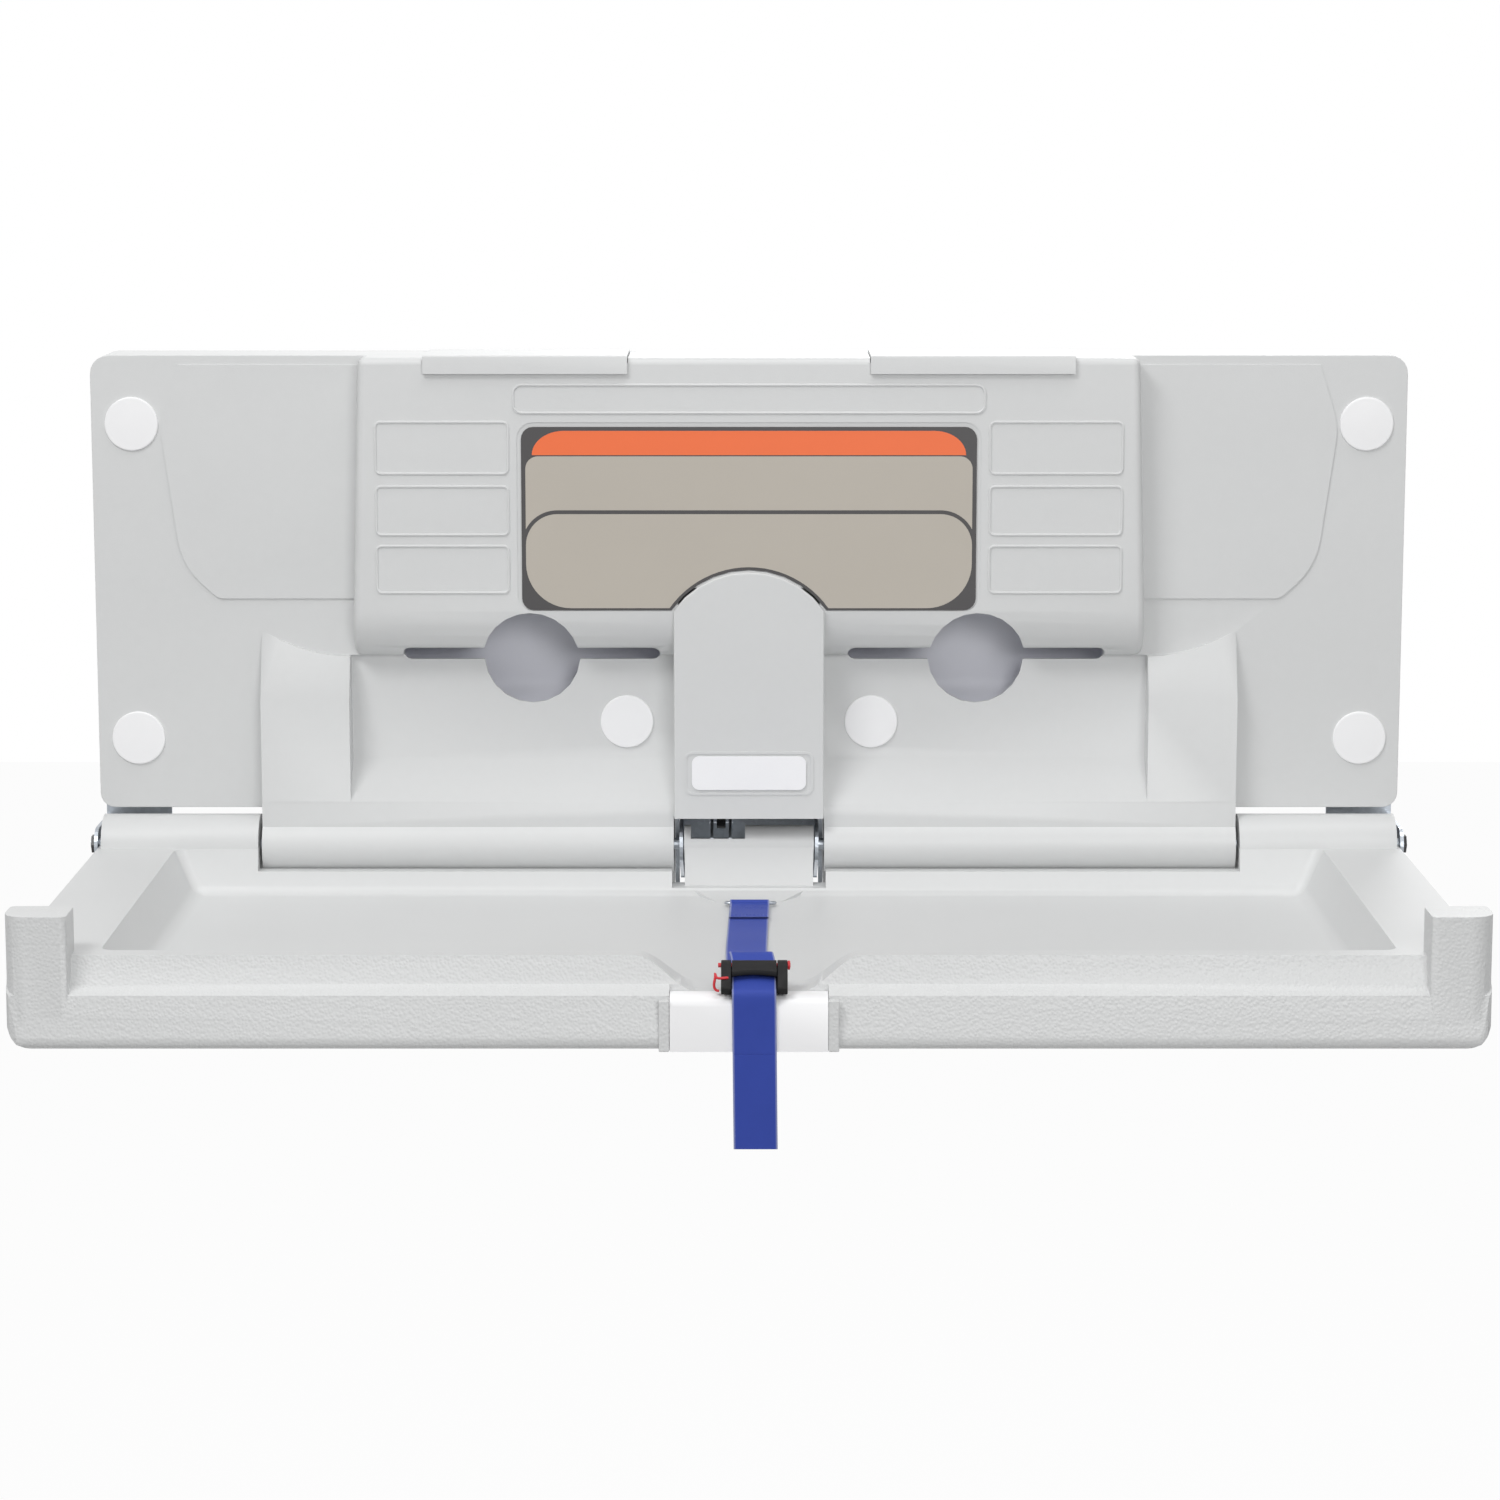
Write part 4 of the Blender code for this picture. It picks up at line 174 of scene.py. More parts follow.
def srgb(red, green, blue):
    """A colour given as 0 to 255 on screen, as the linear values that a shader takes."""
    levels = [v / 255.0 for v in (red, green, blue)]
    return (*(v / 12.92 if v <= 0.04045 else ((v + 0.055) / 1.055) ** 2.4 for v in levels), 1.0)


def shade(colour, factor):
    return (*(v * factor for v in colour[:3]), 1.0)


print("pale grey as linear values:", [round(v, 3) for v in srgb(212, 213, 214)])

# %% [markdown]
# ## Moulded plastic
#
# Blow-moulded polyethylene is matt and never quite even. It has a fine grain from the blasted mould,
# faint cloudy tone changes where the wall is thinner, and a broad soft sheen. All of it comes from
# noise on the object's own coordinates, so it stays put when the bed turns. The bed also carries a
# pebbled grain on its front rim and skirt, which a hand rests on; a smooth Voronoi pattern gives the
# pebbles, and a mask worked out from the depth keeps it off the tray.

# %% Moulded plastic
SHELL_GREY = srgb(215, 216, 216)
SHELL_ROUGHNESS = 0.44
CLOUD_SIZE = 0.16
CLOUD_STRETCH = (0.6, 1.0, 1.8)
MOTTLE_SIZE = 0.006
GRAIN_SIZE = 0.0006
GRAIN_DEPTH = 0.00003


def moulded_plastic(name, colour, roughness=SHELL_ROUGHNESS, cloud=0.05, grain_depth=GRAIN_DEPTH):
    finish = Finish(name, ior=1.5)
    clouds = finish.noise(CLOUD_SIZE, 3.0, stretch=CLOUD_STRETCH)
    mottle = finish.noise(MOTTLE_SIZE)
    tone = clouds * 0.75 + mottle * 0.25
    finish.feed("Base Color", finish.blend(tone, shade(colour, 1.0 - cloud), shade(colour, 1.0 + cloud)))
    finish.feed("Roughness", roughness - 0.04 + mottle * 0.08)
    grain = finish.noise(GRAIN_SIZE)
    finish.grain_normal = finish.bump(grain, grain_depth)
    finish.feed("Normal", finish.grain_normal)
    return finish


shell = moulded_plastic("shell_plastic", SHELL_GREY)
back = moulded_plastic("back_plastic", srgb(206, 206, 204), 0.52)
# The bins' near-white base colour is painted light: it is raised to make up for the light that hardly
# reaches inside the housing.
bin_plastic = moulded_plastic("bin_plastic", srgb(238, 239, 246), 0.5, cloud=0.03)
white = moulded_plastic("white_plastic", srgb(247, 247, 248), 0.34, cloud=0.015, grain_depth=0.00001)
print("moulded finishes:", [made.material.name for made in (shell, back, bin_plastic, white)])

# %% Pebbled plastic on the bed
PEBBLE_SIZE = 0.0019
CREASE_SIZE = 0.004
PEBBLE_DEPTH = 0.00034
PEBBLE_START_Y = -0.4035
PEBBLE_FADE = 0.004

bed_plastic = moulded_plastic("bed_plastic", SHELL_GREY)
bed_place = bed_plastic.node("ShaderNodeTexCoord", output="Object")
bed_axes = bed_plastic.node("ShaderNodeSeparateXYZ", {0: bed_place}, output="Y")
front_mask = bed_plastic.node("ShaderNodeMapRange", {
    "Value": bed_axes, "From Min": PEBBLE_START_Y, "From Max": PEBBLE_START_Y - PEBBLE_FADE,
}, interpolation_type="SMOOTHSTEP")
pebbles = bed_plastic.node("ShaderNodeTexVoronoi", {
    "Vector": bed_plastic.place(), "Scale": 1.0 / PEBBLE_SIZE, "Smoothness": 0.6,
}, feature="SMOOTH_F1")
creases = bed_plastic.noise(CREASE_SIZE, 3.0)
pebble_height = (1.0 - pebbles) * (0.6 + creases * 0.8) * front_mask
bed_plastic.feed("Normal", bed_plastic.bump(pebble_height, PEBBLE_DEPTH, bed_plastic.grain_normal))
print("pebbles:", PEBBLE_SIZE * 1000, "mm across")

# %% [markdown]
# ## Metal, nylon, film and webbing
#
# The hinge steel is zinc plated: bright, slightly blue, and cloudy where the plating crystals differ.
# The strut's tube is black enamel, the buckle black nylon with a moulded grain. The label is a
# laminated film, so it is smoother than the plastic round it and has a thin clear coat. The strap is
# a tight satin webbing: its weave is too fine to count in the photograph, but it still breaks up the
# light. The weave follows the strap, so it reads an attribute that the strap's mesh carries.

# %% Metals
CRYSTAL_SIZE = 0.003125
HAZE_SIZE = 0.012
SCRATCH_SIZE, SCRATCH_DEPTH = 0.0008, 0.00001
RIPPLE_SIZE, RIPPLE_DEPTH = 0.0018, 0.00002
ENAMEL_CLOUD_SIZE = 0.02


def plated_steel(name, colour, roughness):
    finish = Finish(name, metallic=1.0)
    inputs = {"Vector": finish.place(), "Scale": 1.0 / CRYSTAL_SIZE}
    crystals = finish.node("ShaderNodeTexVoronoi", inputs, output="Color")
    patch = finish.node("ShaderNodeSeparateColor", {0: crystals})
    haze = finish.noise(HAZE_SIZE, 4.0)
    finish.feed("Base Color", finish.blend(haze * 0.6 + patch * 0.4, shade(colour, 0.78),
                                           shade(colour, 1.08)))
    finish.feed("Roughness", roughness + haze * 0.16)
    scratches = finish.noise(SCRATCH_SIZE, 3.0, stretch=(1.0, 1.0, 6.0))
    finish.feed("Normal", finish.bump(scratches, SCRATCH_DEPTH))
    return finish


def enamel(name, colour, roughness, shine=0.5):
    finish = Finish(name, specular_ior_level=shine)
    ripple = finish.noise(RIPPLE_SIZE)
    finish.feed("Base Color", finish.blend(finish.noise(ENAMEL_CLOUD_SIZE), colour, shade(colour, 1.5)))
    finish.feed("Roughness", roughness + ripple * 0.1)
    finish.feed("Normal", finish.bump(ripple, RIPPLE_DEPTH))
    return finish


zinc = plated_steel("zinc_steel", srgb(190, 196, 203), 0.28)
black_enamel = enamel("black_enamel", srgb(34, 34, 36), 0.3)
black_nylon = enamel("black_nylon", srgb(20, 20, 21), 0.48, shine=0.2)
red_plastic = enamel("red_plastic", srgb(186, 30, 40), 0.32)
natural_nylon = moulded_plastic("natural_nylon", srgb(226, 223, 212), 0.42, cloud=0.02)
print("steel, enamel and nylon:", [made.material.name for made in (
    zinc, black_enamel, black_nylon, red_plastic, natural_nylon)])

# %% Film
DOT_SIZE, WASH_SIZE = 0.0005, 0.05
WAVE_SIZE, WAVE_DEPTH = 0.03, 0.00006


def film(name, colour):
    finish = Finish(name, coat_weight=0.35, coat_roughness=0.12)
    dots = finish.noise(DOT_SIZE, 1.0)
    wash = finish.noise(WASH_SIZE)
    finish.feed("Base Color", finish.blend(dots * 0.5 + wash * 0.5, shade(colour, 0.96),
                                           shade(colour, 1.04)))
    finish.feed("Roughness", 0.34 + wash * 0.08)
    finish.feed("Normal", finish.bump(finish.noise(WAVE_SIZE, 1.0), WAVE_DEPTH))
    return finish


charcoal_film = film("charcoal_film", srgb(62, 60, 61))
orange_film = film("orange_film", srgb(243, 112, 56))
taupe_film = film("taupe_film", srgb(186, 179, 168))
plate_film = film("plate_film", srgb(247, 247, 249))
print("films:", [made.material.name for made in (charcoal_film, orange_film, taupe_film, plate_film)])

# %% Webbing
WEAVE_PITCH = 0.0007
WEAVE_DEPTH = 0.00005
FADE_SIZE = 0.012
THREAD_SIZE = 0.0004


def woven(name, colour, edge_highlight_colour):
    """Satin webbing with a painted highlight on its edges; its mesh holds 'weave': metres across, metres
    along, and 1 on the edge band that gets the painted highlight.
    """
    finish = Finish(name, sheen_weight=0.06, sheen_roughness=0.4, specular_ior_level=0.3)
    weave = finish.node("ShaderNodeAttribute", output="Vector", attribute_name="weave")
    across = finish.node("ShaderNodeSeparateXYZ", {0: weave}, output="X")
    along = finish.node("ShaderNodeSeparateXYZ", {0: weave}, output="Y")
    painted_edge_highlight = finish.node("ShaderNodeSeparateXYZ", {0: weave}, output="Z")
    turns = 2.0 * math.pi / WEAVE_PITCH
    warp = (across * (turns * 1.4)).math("SINE") * 0.5 + 0.5
    weft = (along * turns + warp * 2.4).math("SINE") * 0.5 + 0.5
    threads = warp * 0.45 + weft * 0.55
    body = finish.blend(threads * 0.6 + finish.noise(FADE_SIZE) * 0.4, shade(colour, 0.86),
                        shade(colour, 1.14))
    # The pale edge colour is a painted highlight along the strap's rounded edges.
    finish.feed("Base Color", finish.blend(painted_edge_highlight * 0.55, body, edge_highlight_colour))
    finish.feed("Roughness", 0.5 + threads * 0.16)
    finish.feed("Normal", finish.bump(threads, WEAVE_DEPTH))
    return finish


blue_webbing = woven("blue_webbing", srgb(48, 70, 162), srgb(172, 178, 206))
blue_thread = Finish("blue_thread", roughness=0.6)
blue_thread.feed("Base Color", blue_thread.blend(
    blue_thread.noise(THREAD_SIZE), srgb(48, 62, 140), srgb(84, 102, 188)))
print("weave pitch:", WEAVE_PITCH * 1000, "mm")

# %% [markdown]
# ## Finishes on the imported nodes
#
# Each node keeps its shape and only gets a better finish in its slots. A table from finish to nodes
# shows at a glance that none has been left out.

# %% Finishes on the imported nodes
SIDES = (("left", -1.0), ("right", 1.0))
NODE_FINISHES = (
    (shell, ["wall_body", "liner_lid_left", "liner_lid_right"]),
    (back, ["back_panel", "bed_bottom_panel"]),
    (bed_plastic, ["bed_tray"]),
    (bin_plastic, ["liner_bin_left", "liner_bin_right"]),
    (white, ["front_insert"] + [
        f"cap_{row}_{word}" for row in ("upper", "lower", "inner") for word, side in SIDES]),
    (charcoal_film, ["front_label"]),
    (plate_film, ["centre_plate"]),
    (zinc, ["hinge_rod", "hinge_bracket_left", "hinge_bracket_right", "centre_bracket", "strut_rod",
            "strut_top_bracket", "strut_top_pin", "lid_pin_left", "lid_pin_right", "crank_bracket",
            "crank_pin", "crank_bolt_1", "crank_bolt_2", "strap_loop", "knuckle_sleeve_left",
            "knuckle_sleeve_right"] + [
        f"panel_screw_{row}_{word}" for row in ("upper", "lower", "inner") for word, side in SIDES]),
    (black_enamel, ["strut_cylinder", "rod_nut_left", "rod_nut_right"]),
    (black_nylon, ["strut_eye", "buckle_frame", "buckle_lever"]),
    (red_plastic, ["buckle_pin"]),
    (natural_nylon, ["strut_seal", "knuckle_bush_left", "knuckle_bush_right"]),
    (blue_webbing, ["strap_upper", "strap_front", "strap_tail"]),
)

finished = set()
for finish, names in NODE_FINISHES:
    for name in names:
        finished.add(name)
        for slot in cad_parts[name].material_slots:
            slot.material = finish.material
print("nodes without a finish:", sorted(set(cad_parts) - finished))

# %% [markdown]
# ## Making and placing a piece
#
# Every piece is built in its place, with its object at the origin, as the imported nodes are. A flat
# outline with some thickness is enough for film and plates. Each piece then rides on the body that
# carries it.

# %% Making and placing a piece
SHARP_ANGLE = math.radians(38.0)
WELD = 0.000002


def fit(name, mesh, finish, body, smooth=True, replaced=()):
    """Shows a mesh as a piece of the object that moves with a body."""
    mesh.materials.clear()
    mesh.materials.append(finish.material)
    if smooth:
        mesh.shade_smooth()
        mesh.set_sharp_from_angle(angle=SHARP_ANGLE)
    piece = bpy.data.objects.new(name, mesh)
    bpy.context.scene.collection.objects.link(piece)
    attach(piece, body)
    if replaced:
        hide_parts(*replaced)
    print(name, "faces:", len(mesh.polygons))
    return piece


def mesh_from(shape, name):
    """Turns a bmesh into a mesh, welded and with its faces pointing out."""
    bmesh.ops.remove_doubles(shape, verts=shape.verts, dist=WELD)
    bmesh.ops.recalc_face_normals(shape, faces=shape.faces)
    mesh = bpy.data.meshes.new(name)
    shape.to_mesh(mesh)
    shape.free()
    return mesh


def upright_plate(name, outline, front, rear):
    """A flat plate facing the viewer, from an outline of (x, z) points."""
    shape = bmesh.new()
    face = shape.faces.new([shape.verts.new((x, rear, z)) for x, z in outline])
    grown = bmesh.ops.extrude_face_region(shape, geom=[face])
    moved = [item for item in grown["geom"] if isinstance(item, bmesh.types.BMVert)]
    bmesh.ops.translate(shape, verts=moved, vec=(0.0, front - rear, 0.0))
    return mesh_from(shape, name)


def arc(centre, radius, start, end, steps=12):
    angles = [math.radians(start + (end - start) * i / steps) for i in range(steps + 1)]
    return [(centre[0] + radius * math.cos(a), centre[1] + radius * math.sin(a)) for a in angles]


print("edges sharper than", round(math.degrees(SHARP_ANGLE)), "degrees stay crisp")

# %% [markdown]
# ## Trees that repeat and follow
#
# Six caps are alike, stitches repeat, and a bent wire follows a path. Geometry Nodes is made for such
# work: one tree puts a piece on each point of a mesh, a second runs a piece along a path, and a third
# draws a round wire along one. Each tree has named inputs, and its result is kept as a plain mesh.

# %% Building a tree
def new_tree(name, *inputs):
    tree = bpy.data.node_groups.new(name, "GeometryNodeTree")
    tree.is_modifier = True
    tree.interface.new_socket("Geometry", in_out="INPUT", socket_type="NodeSocketGeometry")
    for label, kind in inputs:
        tree.interface.new_socket(label, in_out="INPUT", socket_type="NodeSocket" + kind)
    tree.interface.new_socket("Geometry", in_out="OUTPUT", socket_type="NodeSocketGeometry")
    return tree, tree.nodes.new("NodeGroupInput").outputs


def step(tree, kind, links, **settings):
    """One node of a tree, fed from the sockets in links; gives back its first output."""
    made = tree.nodes.new(kind)
    for name, value in settings.items():
        setattr(made, name, value)
    for label, source in links.items():
        if isinstance(source, bpy.types.NodeSocket):
            tree.links.new(source, made.inputs[label])
        else:
            made.inputs[label].default_value = source
    return made.outputs[0]


def close_tree(tree, geometry, material):
    whole = step(tree, "GeometryNodeRealizeInstances", {"Geometry": geometry})
    painted = step(tree, "GeometryNodeSetMaterial", {"Geometry": whole, "Material": material})
    tree.links.new(painted, tree.nodes.new("NodeGroupOutput").inputs["Geometry"])
    print(tree.name, "nodes:", len(tree.nodes))


# %% The tree that sets a piece on points
on_points, given = new_tree("piece_on_points", ("Piece", "Object"), ("Material", "Material"))
pattern = on_points.nodes.new("GeometryNodeObjectInfo")
on_points.links.new(given["Piece"], pattern.inputs["Object"])
placed = step(on_points, "GeometryNodeInstanceOnPoints", {
    "Points": given["Geometry"], "Instance": pattern.outputs["Geometry"]})
close_tree(on_points, placed, given["Material"])

# %% The tree that runs a piece along a path
along_path, given = new_tree("piece_along_path", ("Piece", "Object"), ("Spacing", "Float"),
                             ("Material", "Material"))
pattern = along_path.nodes.new("GeometryNodeObjectInfo")
along_path.links.new(given["Piece"], pattern.inputs["Object"])
line = step(along_path, "GeometryNodeMeshToCurve", {"Mesh": given["Geometry"]})
line = step(along_path, "GeometryNodeResampleCurve", {"Curve": line, "Length": given["Spacing"]},
            mode="LENGTH")
heading = step(along_path, "GeometryNodeInputTangent", {})
turned = step(along_path, "FunctionNodeAlignRotationToVector", {"Vector": heading}, axis="X")
placed = step(along_path, "GeometryNodeInstanceOnPoints", {
    "Points": line, "Instance": pattern.outputs["Geometry"], "Rotation": turned})
close_tree(along_path, placed, given["Material"])

# %% The tree that draws a wire
WIRE_SIDES = 12

wire, given = new_tree("wire_on_path", ("Radius", "Float"), ("Material", "Material"))
line = step(wire, "GeometryNodeMeshToCurve", {"Mesh": given["Geometry"]})
ring = step(wire, "GeometryNodeCurvePrimitiveCircle", {"Radius": given["Radius"], "Resolution": WIRE_SIDES})
drawn = step(wire, "GeometryNodeCurveToMesh", {
    "Curve": line, "Profile Curve": ring, "Fill Caps": True})
close_tree(wire, drawn, given["Material"])

# %% Running a tree
def evaluated(holder):
    """The mesh of an object after its modifiers; the object is then removed."""
    bpy.context.scene.collection.objects.link(holder)
    bpy.context.view_layer.update()
    graph = bpy.context.evaluated_depsgraph_get()
    mesh = bpy.data.meshes.new_from_object(holder.evaluated_get(graph),
                                           preserve_all_data_layers=True, depsgraph=graph)
    bpy.data.objects.remove(holder)
    return mesh


def grow(tree, points, joined=False, closed=False, **values):
    """Runs a tree on points, or on the line or loop that joins them, and keeps a plain mesh."""
    seed = bpy.data.meshes.new("seed")
    links = [(i, i + 1) for i in range(len(points) - 1)] if joined or closed else []
    if closed:
        links.append((len(points) - 1, 0))
    seed.from_pydata([tuple(p) for p in points], links, [])
    holder = bpy.data.objects.new("seed", seed)
    modifier = holder.modifiers.new("grow", "NODES")
    modifier.node_group = tree
    for item in tree.interface.items_tree:
        if item.in_out == "INPUT" and item.name.lower() in values:
            modifier[item.identifier] = values[item.name.lower()]
    return evaluated(holder)


# %% Turning a solid
def turned_round(profile, sides, name):
    """A solid turned round the Y axis, from (radius, y) points that start and end on the axis."""
    shape = bmesh.new()
    rings = []
    for radius, y in profile:
        if radius < WELD:
            rings.append([shape.verts.new((0.0, y, 0.0))])
            continue
        angles = [2.0 * math.pi * i / sides for i in range(sides)]
        rings.append([shape.verts.new((radius * math.cos(a), y, radius * math.sin(a))) for a in angles])
    for first, second in zip(rings, rings[1:]):
        for i in range(sides):
            corners = [first[i % len(first)], first[(i + 1) % len(first)],
                       second[(i + 1) % len(second)], second[i % len(second)]]
            shape.faces.new(list(dict.fromkeys(corners)))
    return mesh_from(shape, name)


# %% [markdown]
# ## Smooth mouldings
#
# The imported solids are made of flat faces, so a curved wall shows as narrow bands in raking light.
# A welded copy with smooth shading has the same shape without the bands. Its normals are weighted by
# face area, which keeps the large flat walls flat right up to their rounded edges.

# %% Smooth mouldings
SOLID_WELD = 0.00001
SOLID_SHARP_ANGLE = math.radians(50.0)


def smooth_copy(name):
    shape = bmesh.new()
    shape.from_mesh(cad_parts[name].data)
    bmesh.ops.remove_doubles(shape, verts=shape.verts, dist=SOLID_WELD)
    mesh = mesh_from(shape, name + "_smooth")
    old = mesh.attributes.get("custom_normal")
    if old:
        mesh.attributes.remove(old)
    mesh.shade_smooth()
    mesh.set_sharp_from_angle(angle=SOLID_SHARP_ANGLE)
    holder = bpy.data.objects.new(name + "_smooth", mesh)
    weigh = holder.modifiers.new("weigh", "WEIGHTED_NORMAL")
    weigh.mode = "FACE_AREA"
    weigh.keep_sharp = True
    return evaluated(holder)


MOULDINGS = (
    ("wall_body", shell, "wall_unit", "grey_plastic"),
    ("back_panel", back, "wall_unit", "grey_plastic"),
    ("liner_bin_left", bin_plastic, "wall_unit", "liner_bin_grey"),
    ("liner_bin_right", bin_plastic, "wall_unit", "liner_bin_grey"),
    ("liner_lid_left", shell, "lid_left", "grey_plastic"),
    ("liner_lid_right", shell, "lid_right", "grey_plastic"),
    ("bed_tray", bed_plastic, "bed", "grey_plastic"),
    ("bed_bottom_panel", back, "bed", "grey_plastic"),
    ("front_insert", white, "bed", "white_plastic"),
)
for name, finish, body, slot in MOULDINGS:
    fit(name + "_moulding", smooth_copy(name), finish, body, smooth=False, replaced=(name,))

# %% [markdown]
# ## Screw caps
#
# A round push-in cap covers each wall screw. One cap is turned round its axis with a low dome and a
# rolled rim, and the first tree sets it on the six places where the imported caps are.

# %% Screw caps
CAP_NAMES = [f"cap_{row}_{word}" for row in ("upper", "lower", "inner") for word, side in SIDES]
CAP_RIM = 0.0007
CAP_DOME = 0.0004
CAP_DOME_SHARE = 0.92
CAP_SIDES = 64


def cap_profile(box):
    radius, front, rear = (box[1].x - box[0].x) / 2, box[0].y - box[1].y, 0.0
    dome = [(radius * CAP_DOME_SHARE * t, front + CAP_DOME * (t * t)) for t in (0.0, 0.25, 0.5, 0.75, 1.0)]
    rim = [(radius - CAP_RIM + CAP_RIM * math.sin(a), front + CAP_DOME + CAP_RIM - CAP_RIM * math.cos(a))
           for a in (0.0, 0.5, 1.0, math.pi / 2)]
    return [*dome, *rim, (radius, rear), (0.0, rear)]


cap_pattern = bpy.data.objects.new("cap_pattern", turned_round(
    cap_profile(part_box(CAP_NAMES[0])), CAP_SIDES, "cap_pattern"))
places = []
for name in CAP_NAMES:
    low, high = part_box(name)
    places.append(((low.x + high.x) / 2, high.y, (low.z + high.z) / 2))
caps = grow(on_points, places, piece=cap_pattern, material=white.material)
fit("screw_caps", caps, white, "wall_unit", replaced=CAP_NAMES)

# %% [markdown]
# ## The label's colour fields
#
# The label is one film printed in three colours: an orange band with swept ends, and two taupe
# fields inside a charcoal border, the lower one cut round by the arch of the tower. Each field is its
# own thin plate on the film, so that its edge stays crisp from close up.

# %% The label's colour fields
LABEL_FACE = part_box("front_label")[0].y
INK = 0.00012
ARCH_CENTRE_Z = 0.12696
ARCH_FIELD_RADIUS = 0.0651
BAND_LOW, BAND_HIGH = 0.2672, 0.2834
BAND_HALF, BAND_TOP_HALF = 0.1448, 0.1235
FIELD_HALF = 0.1492
LOWER_BOTTOM, LOWER_TOP = 0.1644, 0.2277
LOWER_BOTTOM_ROUND, LOWER_TOP_ROUND = 0.030, 0.021
UPPER_BOTTOM, UPPER_TOP = 0.2303, 0.2664
UPPER_TOP_ROUND, BAND_INSET = 0.0084, 0.004
BORDER = UPPER_BOTTOM - LOWER_TOP


def band_outline():
    """The orange band: its upper corners sweep down to the border in a quarter ellipse."""
    reach, rise = BAND_HALF - BAND_TOP_HALF, BAND_HIGH - BAND_LOW
    sweep = [math.radians(90.0 * i / 12) for i in range(13)]
    right = [(BAND_TOP_HALF + reach * math.cos(a), BAND_LOW + rise * math.sin(a)) for a in sweep]
    return right + [(-x, z) for x, z in reversed(right)]


def lower_field_outline():
    reach = math.degrees(math.asin((LOWER_BOTTOM - ARCH_CENTRE_Z) / ARCH_FIELD_RADIUS))
    foot, top = LOWER_BOTTOM_ROUND, LOWER_TOP_ROUND
    right = arc((FIELD_HALF - foot, LOWER_BOTTOM + foot), foot, 270.0, 360.0)
    right += arc((FIELD_HALF - top, LOWER_TOP - top), top, 0.0, 90.0)
    left = [(-x, z) for x, z in reversed(right)]
    return right + left + arc((0.0, ARCH_CENTRE_Z), ARCH_FIELD_RADIUS, 180.0 - reach, reach, 24)


def upper_field_outline():
    """The upper field ends in a point on each side, where it runs beside the lower one."""
    round_over = LOWER_TOP_ROUND + BORDER
    centre = (FIELD_HALF - LOWER_TOP_ROUND, LOWER_TOP - LOWER_TOP_ROUND)
    edge = math.degrees(math.acos(LOWER_TOP_ROUND / round_over))
    right = arc(centre, round_over, 90.0, edge)
    right += arc((BAND_HALF - BAND_INSET, UPPER_TOP - UPPER_TOP_ROUND), UPPER_TOP_ROUND, 0.0, 90.0)
    return right + [(-x, z) for x, z in reversed(right)]


for name, outline, finish in (("label_band", band_outline(), orange_film),
                              ("label_lower_field", lower_field_outline(), taupe_film),
                              ("label_upper_field", upper_field_outline(), taupe_film)):
    plate = upright_plate(name, outline, LABEL_FACE - INK, LABEL_FACE + INK / 4)
    fit(name, plate, finish, "wall_unit", smooth=False)

# %% [markdown]
# ## Beads on the raised frames
#
# The housing has a long raised frame above the label and three frames on each side of it. On the real
# moulding their edges are soft beads. The wire tree runs a thin round bead along the middle of each
# frame, half sunk in it, so that the light picks the frames out.

# %% Beads on the raised frames
HOUSING_FACE = -0.0740
BEAD_RADIUS = 0.0009
BEAD_LIFT = 0.0001
TITLE_HALF, TITLE_ROUND = 0.1572, 0.0060
TITLE_BOTTOM, TITLE_TOP = 0.2953, 0.3139
TABLET_INNER, TABLET_OUTER, TABLET_ROUND = 0.1608, 0.2492, 0.0034
TABLET_ROWS = (("low", 0.1748, 0.2062), ("mid", 0.2138, 0.2462), ("high", 0.2548, 0.2892))

frames = [("title", -TITLE_HALF, TITLE_HALF, TITLE_BOTTOM, TITLE_TOP, TITLE_ROUND)]
for word, side in SIDES:
    left, right = sorted((side * TABLET_INNER, side * TABLET_OUTER))
    frames += [(f"tablet_{row}_{word}", left, right, bottom, top, TABLET_ROUND)
               for row, bottom, top in TABLET_ROWS]


def rounded_box(left, right, bottom, top, corner, steps=6):
    centres = ((right - corner, top - corner, 0.0), (left + corner, top - corner, 90.0),
               (left + corner, bottom + corner, 180.0), (right - corner, bottom + corner, 270.0))
    return [point for x, z, start in centres
            for point in arc((x, z), corner, start, start + 90.0, steps)]


for name, left, right, bottom, top, corner in frames:
    loop = [(x, HOUSING_FACE - BEAD_LIFT, z) for x, z in rounded_box(left, right, bottom, top, corner)]
    bead = grow(wire, loop, closed=True, radius=BEAD_RADIUS, material=shell.material)
    fit("bead_" + name, bead, shell, "wall_unit")

# %% [markdown]
# ## Flanges of the centre bracket
#
# The centre bracket's cheeks have narrow flanges that close the slots beside the bed's knuckle. They
# show as two bright strips of plated steel with a fine shadow on each side.

# %% Flanges of the centre bracket
FLANGE_INNER, FLANGE_OUTER = 0.0474, 0.0503
FLANGE_FRONT, FLANGE_REAR = -0.0400, -0.0388
FLANGE_LOW, FLANGE_HIGH = -0.0350, 0.0200
FLANGE_ROUND = 0.0010

for word, side in SIDES:
    left, right = sorted((side * FLANGE_INNER, side * FLANGE_OUTER))
    outline = rounded_box(left, right, FLANGE_LOW, FLANGE_HIGH, FLANGE_ROUND, 4)
    flange = upright_plate("bracket_flange_" + word, outline, FLANGE_FRONT, FLANGE_REAR)
    fit("bracket_flange_" + word, flange, zinc, "wall_unit", smooth=False)

# %% [markdown]
# ## Webbing
#
# A strap is one long ribbon with soft edges. It follows a path in depth and height, and may drift a
# little sideways, as the real one does. Corner cutting rounds the path, each end closes with a thinner
# lip, and the mesh keeps how far across and along each point lies, for the weave.

# %% A ribbon along a path
STRAP_WIDTH = 0.0262
STRAP_THICKNESS = 0.0012
HIGHLIGHT_BAND_WIDTH = 0.0007
END_SQUEEZE = 0.55
UPRIGHT_LIMIT = 0.05


